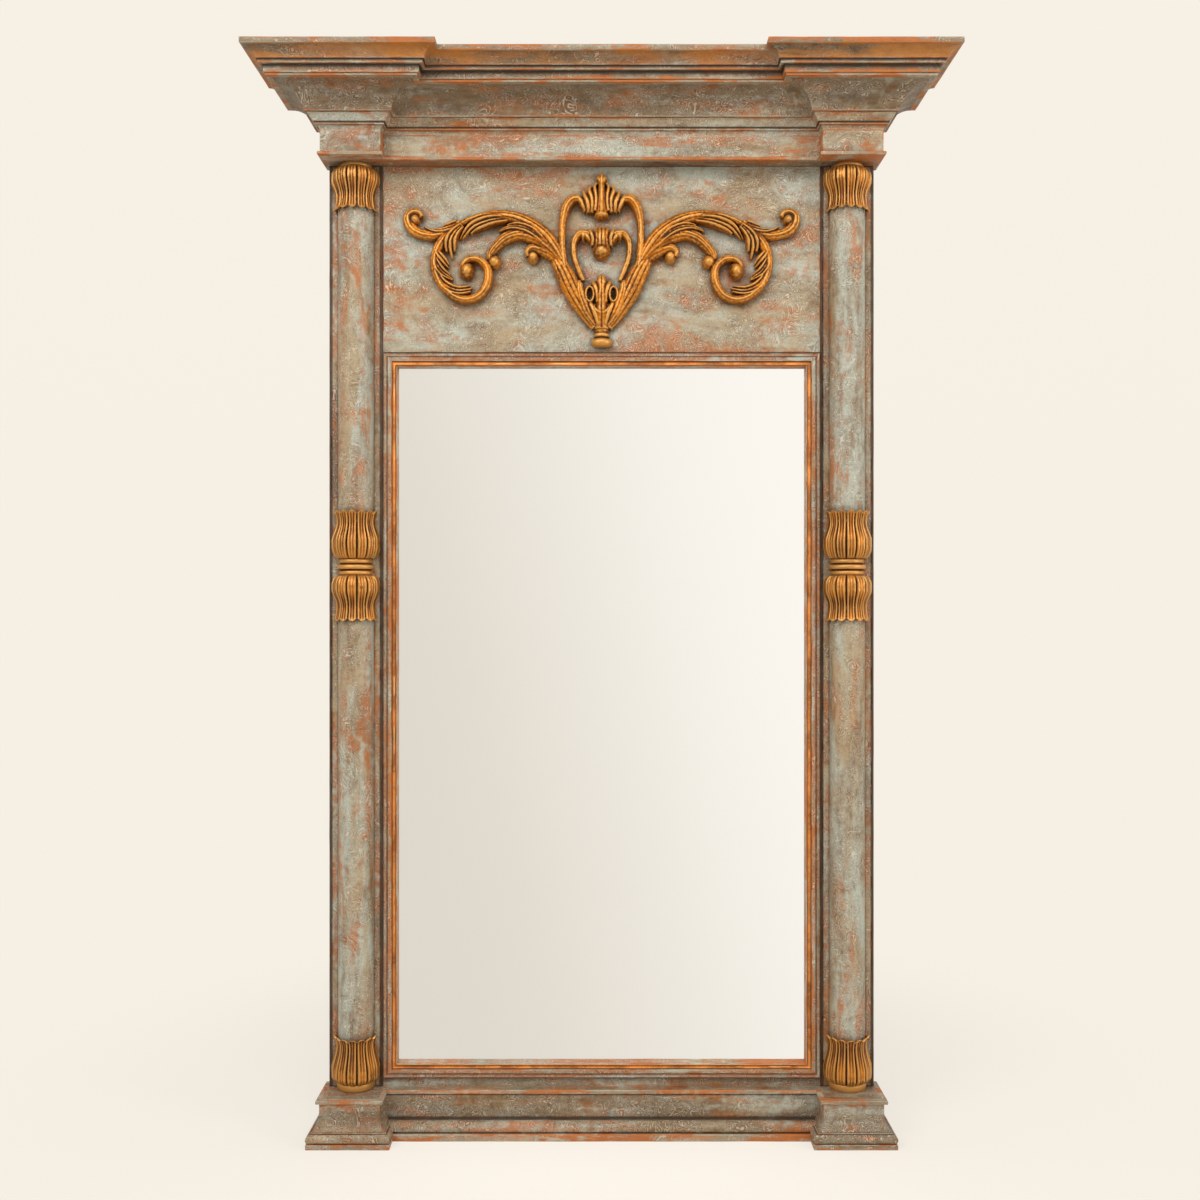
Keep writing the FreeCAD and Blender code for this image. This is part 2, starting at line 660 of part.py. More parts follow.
def petal_ring(radius, level, groove, notch):
    """Half a fluted ring in front of the stile, with its flat on the stile's face."""
    steps = PETALS * len(PETAL_DEPTHS)
    ring = []
    for step in range(steps + 1):
        depth = PETAL_DEPTHS[step % len(PETAL_DEPTHS)]
        angle = math.pi * step / steps
        reach = radius - groove * depth
        ring.append(V(reach * math.cos(angle), -reach * math.sin(angle), level - notch * depth))
    return ring


def tulip_solid(foot_radius, height, widest, neck, ring_radius=0, ring_height=0):
    """A tulip with its mouth up: a bulb of fluted petals, a neck, curled and notched tips, and
    the socket inside the tips that takes the shaft."""
    bulb, waist, rim = size("bulb_radius"), size("neck_radius"), size("rim_radius")
    groove, notch = size("flute_depth"), size("tip_notch")
    rings = []
    if ring_height:
        rings = [petal_ring(ring_radius, 0, 0, 0), petal_ring(ring_radius, ring_height, 0, 0)]
    rings.append(petal_ring(foot_radius - groove * 0.2, ring_height, groove * 0.4, 0))
    for step in (0.5, 1):
        swell = math.sin(step * math.pi / 2)
        level = ring_height + (widest - ring_height) * (1 - math.cos(step * math.pi / 2))
        rings.append(petal_ring(foot_radius + (bulb - foot_radius) * swell, level, groove, 0))
    for step in (0.45, 1):
        radius = (bulb + waist) / 2 + (bulb - waist) / 2 * math.cos(step * math.pi)
        rings.append(petal_ring(radius, widest + (neck - widest) * step, groove * (1 - step * 0.6), 0))
    rings.append(petal_ring(rim, height, groove * 0.4, notch))
    socket = size("column_radius + socket_clearance")
    rings.append(petal_ring(socket, height, 0, notch))
    rings.append(petal_ring(socket, neck, 0, 0))
    return skin(rings, flat_back=True)


COLLAR_TOP = "mid_level + 3 * collar_ring + 2 * collar_gap"
BASE_NECK, UPPER_NECK, LOWER_NECK, CAPITAL_NECK = 0.82, 0.75, 0.66, 0.7
TULIPS = (
    ("base_tulip", "base_ring_radius", "base_tulip_height", 0.31, BASE_NECK,
     ("base_ring_radius", "base_ring_height"), "plinth_height", False),
    ("mid_tulip_upper", "mid_foot_radius", "mid_upper_height", 0.33, UPPER_NECK, None, COLLAR_TOP, False),
    ("mid_tulip_lower", "mid_foot_radius", "mid_lower_height", 0.27, LOWER_NECK, None, "mid_level", True),
    ("capital_tulip", "capital_ring_radius", "capital_height", 0.3, CAPITAL_NECK,
     ("capital_ring_radius", "capital_ring_height"), "soffit_level", True),
)


def make_tulips():
    """Four carved tulips on each column."""
    upside_down = FreeCAD.Rotation(V(0, 1, 0), 180)
    for label, foot, height, widest, neck, ring, level, hangs in TULIPS:
        tall = size(height)
        sizes = [size(value) for value in ring] if ring else []
        solid = tulip_solid(size(foot), tall, tall * widest, tall * neck, *sizes)
        for word, side in SIDES:
            feature = document.addObject("Part::Feature", label.title().replace("_", "") + word)
            feature.Shape = solid
            turn = upside_down if hangs else FreeCAD.Rotation()
            place(feature, "%d * column_offset" % side, "-stile_thickness", level, turn)
            keep(feature, "%s_%s" % (label, word))


def make_shafts():
    """Upper and lower shafts, seated in the tulips' necks, and the ringed collars."""
    spans = (
        ("lower", "plinth_height + base_tulip_height * %g" % BASE_NECK,
         "mid_level - mid_lower_height * %g" % LOWER_NECK),
        ("upper", "%s + mid_upper_height * %g" % (COLLAR_TOP, UPPER_NECK),
         "soffit_level - capital_height * %g" % CAPITAL_NECK),
    )
    for word, side in SIDES:
        centre = "%d * column_offset" % side
        for part, low, high in spans:
            shaft = document.addObject("Part::Cylinder", "Shaft%s%s" % (part, word))
            shaft.Angle = 180
            shaft.setExpression("Radius", bound("column_radius"))
            shaft.setExpression("Height", bound("(%s) - (%s)" % (high, low)))
            place(shaft, centre, "-stile_thickness", low, FreeCAD.Rotation(Z_AXIS, 180))
            keep(shaft, "column_shaft_%s_%s" % (part, word))
        keep(make_collar(word, centre), "mid_collar_" + word)


def make_collar(word, centre):
    """Three turned rings with quirks cut between them, half a turn round."""
    ring, gap, core = size("collar_ring"), size("collar_gap"), size("collar_core_radius")
    stations = []
    for index, radius in enumerate(("collar_radius", "collar_mid_radius", "collar_radius")):
        wide, low = size(radius), index * (ring + gap)
        stations += [(wide - ring / 4, low), (wide, low + ring / 2), (wide - ring / 4, low + ring)]
        if index < 2:
            stations.append((core, low + ring + gap / 2))
    collar = document.addObject("Part::Feature", "Collar" + word)
    collar.Shape = skin([half_ring(radius, level, 12) for radius, level in stations], flat_back=True)
    return place(collar, centre, "-stile_thickness", "mid_level")


# Carved crest. Each strap is a ridged limb of changing width that follows a line of points:
# across and up from the finial's tip, width, and height over the panel.


LIMB_SECTION = ((-0.5, 0), (-0.44, 0.62), (0, 1), (0.44, 0.62), (0.5, 0))


def limb(points, mirrored=1):
    """A ridged strap with a flat back, along a line of points."""
    scale = size("crest_relief") / 26
    rings = []
    for index, (x, z, width, height) in enumerate(points):
        before, after = points[max(index - 1, 0)], points[min(index + 1, len(points) - 1)]
        across = V(-(after[1] - before[1]), 0, after[0] - before[0]).normalize()
        rings.append([V(mirrored * (x + across.x * width * share), -height * scale * rise,
                        z + across.z * width * share) for share, rise in LIMB_SECTION])
    return skin(rings)


def boss(x, z, radius, height, mirrored=1):
    """A round carved eye, domed over the panel."""
    scale = size("crest_relief") / 26
    rings = []
    for share, rise in ((1, 0), (1, 0.5), (0.5, 1)):
        rings.append([V(mirrored * (x + radius * share * math.cos(turn * math.pi / 5)),
                        -height * scale * rise,
                        z + radius * share * math.sin(turn * math.pi / 5)) for turn in range(10)])
    return skin(rings)


WING_LIMBS = (
    ((-13, 37, 16, 14), (-35, 70, 27, 19), (-56, 108, 35, 23), (-71, 141, 34, 24), (-84, 165, 26, 24)),
    ((-75, 161, 14, 22), (-88, 186, 24, 24), (-107, 210, 28, 25), (-135, 231, 27, 25), (-163, 243, 24, 25),
     (-193, 247, 23, 25), (-226, 246, 22, 24), (-253, 237, 21, 23), (-274, 226, 20, 22), (-293, 213, 18, 20)),
    ((-272, 230, 15, 18), (-293, 211, 18, 20), (-308, 190, 18, 21), (-315, 158, 18, 22), (-308, 126, 16, 22),
     (-291, 104, 15, 22), (-268, 91, 15, 22), (-243, 91, 15, 22), (-223, 106, 17, 22), (-213, 134, 17, 22),
     (-220, 155, 16, 21), (-238, 167, 14, 20), (-256, 162, 12, 19), (-263, 142, 9, 17)),
    ((-266, 233, 17, 18), (-289, 217, 19, 18), (-312, 210, 16, 17), (-334, 211, 15, 17), (-355, 218, 15, 18),
     (-368, 231, 15, 18), (-371, 247, 14, 18), (-361, 257, 13, 18), (-348, 256, 11, 18), (-341, 243, 8, 16)),
    ((-77, 162, 18, 22), (-99, 189, 26, 23), (-127, 206, 27, 23), (-155, 213, 24, 22), (-180, 206, 22, 21),
     (-199, 190, 19, 20), (-210, 174, 17, 19), (-208, 162, 12, 17)),
    ((-73, 155, 15, 20), (-94, 174, 23, 21), (-115, 184, 21, 20), (-131, 187, 17, 20), (-140, 178, 11, 18)),
    ((-173, 239, 8, 22), (-202, 230, 17, 23), (-229, 221, 16, 21), (-244, 209, 5, 13)),
    ((-256, 233, 15, 21), (-271, 218, 26, 23), (-283, 199, 27, 22), (-283, 179, 16, 18), (-280, 165, 4, 10)),
    ((-313, 163, 14, 21), (-305, 144, 22, 22), (-281, 127, 4, 10)),
    ((-307, 129, 14, 21), (-288, 112, 23, 21), (-265, 107, 22, 20), (-246, 114, 14, 15)),
    ((-341, 236, 9, 16), (-326, 229, 17, 18), (-307, 227, 17, 18), (-279, 243, 4, 12)),
    ((-132, 211, 18, 24), (-155, 226, 23, 26), (-176, 230, 21, 25), (-196, 221, 5, 14)),
)
WING_BOSSES = ((-355, 241, 9, 22), (-251, 138, 10, 25), (-237, 150, 8, 21), (-200, 158, 12, 24),
               (-127, 173, 10, 23))
STRAP_LIMBS = (
    ((-3, 38, 15, 16), (-21, 60, 18, 19), (-41, 87, 21, 21), (-59, 120, 19, 22), (-70, 154, 16, 22),
     (-74, 183, 14, 22), (-75, 207, 14, 23), (-74, 236, 15, 23), (-68, 262, 18, 24), (-56, 278, 19, 24),
     (-40, 280, 15, 21)),
    ((-34, 125, 8, 16), (-43, 145, 11, 18), (-51, 166, 11, 19), (-53, 188, 12, 20), (-49, 204, 13, 21),
     (-39, 214, 15, 22), (-22, 212, 14, 20)),
    ((-10, 41, 10, 18), (-28, 67, 19, 22), (-38, 96, 19, 23), (-42, 117, 15, 21), (-42, 126, 7, 15)),
)
TOP_SPINE = ((0, 250, 24, 24), (0, 268, 19, 26), (0, 290, 12, 24), (0, 306, 14, 21), (0, 318, 20, 19),
             (0, 330, 9, 14))
TOP_SHELL_LIMBS = (
    ((-10, 252, 14, 24), (-12, 280, 15, 25), (-17, 300, 12, 22), (-24, 308, 5, 14)),
    ((-19, 254, 14, 24), (-30, 273, 18, 24), (-40, 285, 14, 24), (-56, 289, 6, 15)),
    ((-10, 249, 8, 21), (-28, 254, 9, 22), (-40, 263, 9, 22), (-49, 277, 8, 20)),
)
MID_SPINE = ((0, 184, 26, 22), (0, 198, 24, 25), (0, 212, 18, 23), (0, 226, 14, 16))
MID_SHELL_LIMBS = (
    ((-8, 192, 16, 23), (-12, 210, 17, 22), (-16, 225, 11, 15)),
    ((-12, 196, 10, 21), (-24, 203, 13, 22), (-36, 213, 12, 20)),
)
LEAF_SPINE = ((0, 34, 26, 18), (0, 58, 32, 22), (0, 72, 22, 24), (0, 92, 20, 24), (0, 106, 15, 23),
              (0, 120, 19, 21), (0, 132, 14, 17), (0, 139, 6, 12))
LEAF_LIMBS = (
    ((-6, 84, 9, 22), (-10, 104, 12, 22), (-13, 117, 12, 19), (-15, 127, 5, 12)),
    ((-12, 113, 6, 19), (-23, 114, 6, 20), (-31, 106, 6, 21), (-32, 94, 6, 21), (-25, 84, 6, 21),
     (-10, 80, 6, 22)),
)


def both(limbs):
    """Limbs and their mirror images."""
    return [limb(points, hand) for hand in (1, -1) for points in limbs]


def fused(solids):
    """One solid from overlapping ones."""
    return solids[0].multiFuse(solids[1:]).removeSplitter()


def make_crest():
    """The carved pieces, each cut to fit against those that were set before it."""
    shells = [boss(side * 26, 272, 11, 25) for side in (-1, 1)] + [boss(0, 249, 16, 24)]
    cups = [boss(side * 27, 212, 9, 22) for side in (-1, 1)] + [boss(0, 181, 17, 26)]
    carvings = (
        ("crest_cartouche", both(STRAP_LIMBS)),
        ("crest_lower_leaf", [limb(LEAF_SPINE)] + both(LEAF_LIMBS)),
        ("crest_top_shell", [limb(TOP_SPINE)] + both(TOP_SHELL_LIMBS) + shells),
        ("crest_mid_shell", [limb(MID_SPINE)] + both(MID_SHELL_LIMBS) + cups),
        ("crest_wing_left", [limb(points) for points in WING_LIMBS]
         + [boss(*eye) for eye in WING_BOSSES]),
        ("crest_wing_right", [limb(points, -1) for points in WING_LIMBS]
         + [boss(*eye, mirrored=-1) for eye in WING_BOSSES]),
    )
    finial = finial_shape()
    earlier = [finial]
    shapes = [("crest_finial", finial)]
    for label, solids in carvings:
        shape = fused(solids).cut(Part.makeCompound(earlier))
        largest = max(shape.Solids, key=lambda solid: solid.Volume)
        shapes.append((label, largest))
        earlier.append(largest)
    for label, shape in shapes:
        feature = document.addObject("Part::Feature", label.title().replace("_", ""))
        feature.Shape = shape
        keep(place(feature, 0, "-panel_front", "crest_level"), label)


FINIAL_PROFILE = ((0.55, 0), (1, 0.2), (0.95, 0.38), (0.62, 0.5), (0.72, 0.6), (0.72, 0.74),
                  (0.55, 0.82), (0.6, 1))


def finial_shape():
    """A turned drop, half a turn round: a flattened bulb, a ring and a short neck."""
    radius, height = size("finial_radius"), size("finial_height")
    rings = [half_ring(across * radius, up * height, 12) for across, up in FINIAL_PROFILE]
    return skin(rings, flat_back=True)


def write_parts():
    """Check every object and every sub-part, then write one file for each."""
    document.recompute()
    broken = [thing.Label for thing in document.Objects
              if "Invalid" in thing.State or "Error" in thing.State]
    assert not broken, broken
    for before, pocket in mitred:
        assert pocket.Shape.Volume < before.Shape.Volume, pocket.Label
    for piece in pieces:
        assert not piece.Shape.isNull() and piece.Shape.isValid(), piece.Label
    os.makedirs("parts", exist_ok=True)
    for piece in pieces:
        piece.Shape.exportStep("parts/%s.step" % piece.Label)
        print("%-28s %2d solids %11.1f mm3" % (piece.Label, len(piece.Shape.Solids), piece.Shape.Volume))
    print(len(pieces), "sub-parts")


grooved, rail_blank = make_carcass()
both_stiles = joined("Stiles", grooved)
make_cores(both_stiles)
make_courses()
make_plinths(both_stiles, rail_blank)
fixing_screws = make_screws()
make_mirror(fixing_screws)
make_glazing_blocks()
make_hangers(grooved, fixing_screws)
make_tulips()
make_shafts()
make_crest()
write_parts()
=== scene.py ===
import math

import bpy
import numpy as np
from mathutils import Matrix, Vector
from mathutils.bvhtree import BVHTree


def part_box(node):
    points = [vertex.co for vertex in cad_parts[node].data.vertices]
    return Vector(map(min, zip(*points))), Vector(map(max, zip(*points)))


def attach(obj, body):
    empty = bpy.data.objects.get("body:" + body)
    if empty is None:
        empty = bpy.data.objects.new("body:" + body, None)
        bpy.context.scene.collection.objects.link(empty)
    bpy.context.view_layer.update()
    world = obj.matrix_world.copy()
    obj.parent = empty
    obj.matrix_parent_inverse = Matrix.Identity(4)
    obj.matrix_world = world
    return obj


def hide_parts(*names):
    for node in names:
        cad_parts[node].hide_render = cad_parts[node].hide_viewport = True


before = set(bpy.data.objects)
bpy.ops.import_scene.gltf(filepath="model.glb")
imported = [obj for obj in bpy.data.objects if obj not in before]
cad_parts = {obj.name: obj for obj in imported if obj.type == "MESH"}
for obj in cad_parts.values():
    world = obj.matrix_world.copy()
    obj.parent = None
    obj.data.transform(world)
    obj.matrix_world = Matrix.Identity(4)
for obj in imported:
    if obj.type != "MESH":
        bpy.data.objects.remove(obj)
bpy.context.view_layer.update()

scene = bpy.context.scene


# ---------------------------------------------------------------------------------------------
# Camera and studio. The mirror is seen square on, from standing eye height, against a plain
# pale sweep; the floor keeps the soft shadow of the plinths.

EYE = (-0.003, -2.430, 1.008)
LENS_MM = 38.0
PAPER_TOP = (247, 240, 229)
PAPER_LOW = (246, 239, 228)
ROOM_DIM = (226, 219, 207)
ROOM_BRIGHT = (255, 251, 243)


def colour(red, green, blue):
    """A screen colour, 0 to 255, as the linear values that sockets take."""
    levels = [value / 255 for value in (red, green, blue)]
    return tuple(v / 12.92 if v < 0.04045 else ((v + 0.055) / 1.055) ** 2.4 for v in levels) + (1,)


def add_node(tree, kind, inputs=None, **settings):
    """A new node with its settings, and its inputs set or linked."""
    node = tree.nodes.new(kind)
    for name, value in settings.items():
        setattr(node, name, value)
    for key, value in (inputs or {}).items():
        if isinstance(value, bpy.types.NodeSocket):
            tree.links.new(value, node.inputs[key])
        else:
            node.inputs[key].default_value = value
    return node


def maths(tree, operation, first, second=0.0, clamp=False):
    """One sum, and its result's socket."""
    node = add_node(tree, "ShaderNodeMath", {0: first, 1: second}, operation=operation, use_clamp=clamp)
    return node.outputs[0]


def band(tree, value, low, high, to_low=0.0, to_high=1.0):
    """A value stretched smoothly from one range to another."""
    inputs = {"Value": value, "From Min": low, "From Max": high, "To Min": to_low, "To Max": to_high}
    return add_node(tree, "ShaderNodeMapRange", inputs, interpolation_type="SMOOTHSTEP").outputs[0]


def blend(tree, share, first, second, mode="MIX"):
    """Two colours mixed."""
    node = add_node(tree, "ShaderNodeMix", data_type="RGBA", blend_type=mode)
    for socket, value in ((node.inputs[0], share), (node.inputs[6], first), (node.inputs[7], second)):
        if isinstance(value, bpy.types.NodeSocket):
            tree.links.new(value, socket)
        else:
            socket.default_value = value
    return node.outputs[2]


camera = bpy.data.objects.new("camera", bpy.data.cameras.new("camera"))
camera.location = EYE
camera.rotation_euler = (math.pi / 2, 0, 0)
camera.data.lens = LENS_MM
scene.collection.objects.link(camera)
scene.camera = camera
scene.view_settings.view_transform = "Standard"


def seen_rays(tree):
    """1 for rays that look at or reflect the surroundings, 0 for those that light the mirror."""
    path = add_node(tree, "ShaderNodeLightPath")
    rays = maths(tree, "MAXIMUM", path.outputs["Is Camera Ray"], path.outputs["Is Glossy Ray"])
    return maths(tree, "MAXIMUM", rays, path.outputs["Is Transmission Ray"]), path


world = bpy.data.worlds.new("studio")
world.use_nodes = True
scene.world = world
tree = world.node_tree
tree.nodes.clear()
seen, path = seen_rays(tree)
heading = add_node(tree, "ShaderNodeSeparateXYZ",
                   {0: add_node(tree, "ShaderNodeTexCoord").outputs["Generated"]})
paper = blend(tree, band(tree, heading.outputs["Z"], 0.0, 0.4), colour(*PAPER_LOW), colour(*PAPER_TOP))
across = maths(tree, "ADD", maths(tree, "MULTIPLY", heading.outputs["X"], 2.2),
               maths(tree, "MULTIPLY", heading.outputs["Z"], 0.55))
room = blend(tree, band(tree, across, -0.46, 0.42), colour(*ROOM_DIM), colour(*ROOM_BRIGHT))
surround = blend(tree, path.outputs["Is Glossy Ray"], paper, room)
lit = add_node(tree, "ShaderNodeBackground", {"Color": colour(245, 243, 240), "Strength": 0.42})
shown = add_node(tree, "ShaderNodeBackground", {"Color": surround, "Strength": 1.0})
mixed = add_node(tree, "ShaderNodeMixShader", {0: seen, 1: lit.outputs[0], 2: shown.outputs[0]})
add_node(tree, "ShaderNodeOutputWorld", {"Surface": mixed.outputs[0]})


def softbox(name, place, aim, wide, high, watts):
    """A large soft lamp that faces a point."""
    lamp = bpy.data.lights.new(name, "AREA")
    lamp.shape = "RECTANGLE"
    lamp.size, lamp.size_y, lamp.energy = wide, high, watts
    holder = bpy.data.objects.new(name, lamp)
    holder.location = place
    holder.rotation_euler = (Vector(aim) - Vector(place)).to_track_quat("-Z", "Y").to_euler()
    scene.collection.objects.link(holder)
    return holder


softbox("lamp_left", (-2.3, -3.0, 3.0), (0, 0, 1.1), 1.8, 1.8, 84)
softbox("lamp_right", (2.7, -1.5, 1.9), (0, 0, 1.0), 0.7, 2.4, 36)
softbox("lamp_top", (0.3, -3.0, 4.0), (0, 0, 1.0), 2.6, 1.0, 64)

bpy.ops.mesh.primitive_plane_add(size=1)
floor = bpy.context.object
floor.name = "floor"
floor.data.transform(Matrix.Scale(40, 4))
cloth = bpy.data.materials.new("floor_paper")
cloth.use_nodes = True
tree = cloth.node_tree
tree.nodes.clear()
seen, path = seen_rays(tree)
matt = add_node(tree, "ShaderNodeBsdfDiffuse", {"Color": colour(250, 244, 235)})
glow = add_node(tree, "ShaderNodeEmission", {"Color": colour(*PAPER_LOW), "Strength": 1.0})
far = add_node(tree, "ShaderNodeVectorMath", {0: add_node(tree, "ShaderNodeTexCoord").outputs["Object"]},
               operation="LENGTH").outputs["Value"]
share = maths(tree, "MULTIPLY", seen, band(tree, far, 0.5, 1.5, 0.72, 1.0))
mixed = add_node(tree, "ShaderNodeMixShader", {0: share, 1: matt.outputs[0], 2: glow.outputs[0]})
clear = add_node(tree, "ShaderNodeMixShader", {0: path.outputs["Is Glossy Ray"], 1: mixed.outputs[0],
                                               2: add_node(tree, "ShaderNodeBsdfTransparent").outputs[0]})
add_node(tree, "ShaderNodeOutputMaterial", {"Surface": clear.outputs[0]})
floor.data.materials.append(cloth)


# ---------------------------------------------------------------------------------------------
# Stiles. Two planed boards from the plinths to the entablature, painted grey-green over a red
# ground, rubbed through to the wood on the edges and glazed brown. They carry the columns.

PALE_BLUE = colour(178, 181, 166)
GREIGE = colour(170, 150, 118)
BROWN_GLAZE = colour(116, 88, 54)
SMOKE = colour(76, 56, 36)
TERRACOTTA = colour(152, 80, 30)
RUBBED_WOOD = colour(192, 112, 44)
RECESS = colour(52, 37, 24)
BARE = colour(142, 108, 74)
BARE_DARK = colour(96, 68, 44)
COLUMN_X = 0.466
WAVER = 0.0009


def new_group(name, inputs, outputs):
    """An empty node group with named sockets, given as (name, kind, value)."""
    group = bpy.data.node_groups.new(name, "ShaderNodeTree")
    for socket, kind, value in inputs:
        made = group.interface.new_socket(socket, in_out="INPUT", socket_type="NodeSocket" + kind)
        if value is not None:
            made.default_value = value
    for socket, kind in outputs:
        group.interface.new_socket(socket, in_out="OUTPUT", socket_type="NodeSocket" + kind)
    return group, group.nodes.new("NodeGroupInput").outputs, group.nodes.new("NodeGroupOutput").inputs


def cloud(tree, vector, scale, detail=6.0, rough=0.6, twist=0.0):
    """Noise at a scale."""
    inputs = {"Vector": vector, "Scale": scale, "Detail": detail, "Roughness": rough, "Distortion": twist}
    return add_node(tree, "ShaderNodeTexNoise", inputs).outputs[0]


def shifted(tree, vector, x, y, z):
    """A vector moved, so that two layers of noise don't line up."""
    return add_node(tree, "ShaderNodeVectorMath", {0: vector, 1: (x, y, z)}, operation="ADD").outputs[0]


def build_paint():
    """Old paint in layers: two greens, a brown glaze, rubbed red ground, brush marks, worn
    edges with a painted highlight on the arrises, and brown glaze with painted shade in the corners."""
    group, given, out = new_group(
        "aged_paint",
        (("Point", "Vector", None), ("Streak", "Vector", None), ("Edge", "Float", 0.0),
         ("Hollow", "Float", 0.0), ("Red", "Float", 0.5), ("Glaze", "Float", 0.5)),
        (("Color", "Color"), ("Roughness", "Float"), ("Height", "Float")))
    point, streak = given["Point"], given["Streak"]

    def pushed(value, push, amount):
        return maths(group, "ADD", value, maths(group, "MULTIPLY", maths(group, "SUBTRACT", push, 0.5), amount))

    broad = band(group, cloud(group, streak, 4.6, 6.0, 0.62, 0.5), 0.38, 0.6)
    fine = cloud(group, point, 46.0, 6.0, 0.7)
    brush = cloud(group, point, 20.0, 2.0, 0.5, 2.4)
    bristle = pushed(maths(group, "SINE", maths(group, "MULTIPLY", brush, 130.0)), fine, 2.2)
    surface = blend(group, broad, PALE_BLUE, GREIGE)
    wash = pushed(cloud(group, shifted(group, streak, 3, 8, 1), 6.0, 8.0, 0.7), given["Glaze"], 0.34)
    wash = pushed(pushed(wash, brush, 0.3), fine, 0.3)
    wash = band(group, wash, 0.42, 0.68)
    surface = blend(group, maths(group, "MULTIPLY", wash, 0.86), surface, BROWN_GLAZE)
    ground = pushed(cloud(group, shifted(group, streak, 9, 2, 5), 7.5, 8.0, 0.62, 0.7), given["Red"], 0.3)
    ground = pushed(pushed(ground, brush, 0.2), fine, 0.4)
    red = band(group, ground, 0.49, 0.68)
    surface = blend(group, maths(group, "MULTIPLY", red, 0.8), surface,
                    blend(group, fine, TERRACOTTA, RUBBED_WOOD))
    smoke = pushed(cloud(group, shifted(group, streak, 5, 6, 2), 4.0, 6.0, 0.7), given["Glaze"], 0.3)
    smoke = band(group, pushed(smoke, fine, 0.3), 0.56, 0.8)
    surface = blend(group, maths(group, "MULTIPLY", smoke, 0.75), surface, SMOKE)
    loaded = band(group, cloud(group, point, 17.0, 3.0), 0.36, 0.54)
    stroke = maths(group, "MULTIPLY", band(group, bristle, 0.3, 1.1), loaded)
    surface = blend(group, maths(group, "MULTIPLY", stroke, 0.58), surface, colour(214, 208, 190))
    trough = maths(group, "MULTIPLY", band(group, bristle, -1.2, -0.2, 1.0, 0.0), loaded)
    surface = blend(group, maths(group, "MULTIPLY", trough, 0.55), surface, BROWN_GLAZE)
    grain = band(group, cloud(group, point, 260.0, 4.0, 0.7), 0.3, 0.75)
    surface = blend(group, maths(group, "MULTIPLY", grain, 0.34), surface, colour(150, 132, 108), "MULTIPLY")
    # Painted highlight: the arrises (edge mask) are lightened towards a pale paint colour, as if they caught the
    # light.
    arris_highlight = maths(group, "MULTIPLY", band(group, given["Edge"], 0.55, 1.0), 0.4)
    surface = blend(group, arris_highlight, surface, colour(206, 194, 168))
    missed = cloud(group, shifted(group, streak, 7, 1, 3), 13.0, 5.0, 0.62)
    rub = pushed(pushed(pushed(given["Edge"], fine, 1.3), missed, 3.4), broad, 0.3)
    rub = maths(group, "MULTIPLY", band(group, rub, 0.74, 1.0), band(group, given["Edge"], 0.2, 0.6))
    surface = blend(group, maths(group, "MULTIPLY", rub, 0.88), surface,
                    blend(group, fine, RUBBED_WOOD, TERRACOTTA))
    # Brown glaze and painted shade: corners, recesses and the ground round planted parts (hollow mask) are darkened
    # towards RECESS.
    glaze_and_shade = pushed(given["Hollow"], fine, 0.7)
    glaze_and_shade = maths(group, "MULTIPLY", band(group, glaze_and_shade, 0.1, 0.8), band(group, given["Hollow"], 0.0, 0.15))
    surface = blend(group, maths(group, "MULTIPLY", glaze_and_shade, 0.88), surface, RECESS)
    specks = add_node(group, "ShaderNodeTexVoronoi", {"Vector": point, "Scale": 120.0}).outputs["Distance"]
    specks = maths(group, "MULTIPLY", band(group, specks, 0.05, 0.1, 1.0, 0.0),
                   band(group, cloud(group, point, 24.0, 2.0), 0.55, 0.6))
    surface = blend(group, maths(group, "MULTIPLY", specks, 0.8), surface, RECESS)
    group.links.new(surface, out["Color"])
    rough = maths(group, "ADD", band(group, fine, 0.2, 0.8, 0.44, 0.62), maths(group, "MULTIPLY", rub, 0.08))
    group.links.new(rough, out["Roughness"])
    high = maths(group, "MULTIPLY", stroke, 0.5)
    high = maths(group, "SUBTRACT", high, maths(group, "MULTIPLY", trough, 0.4))
    high = maths(group, "ADD", high, maths(group, "MULTIPLY", fine, 0.9))
    high = maths(group, "ADD", high, maths(group, "MULTIPLY", grain, 0.25))
    high = maths(group, "SUBTRACT", high, maths(group, "MULTIPLY", maths(group, "MAXIMUM", red, rub), 0.45))
    group.links.new(high, out["Height"])
    return group


aged_paint = build_paint()


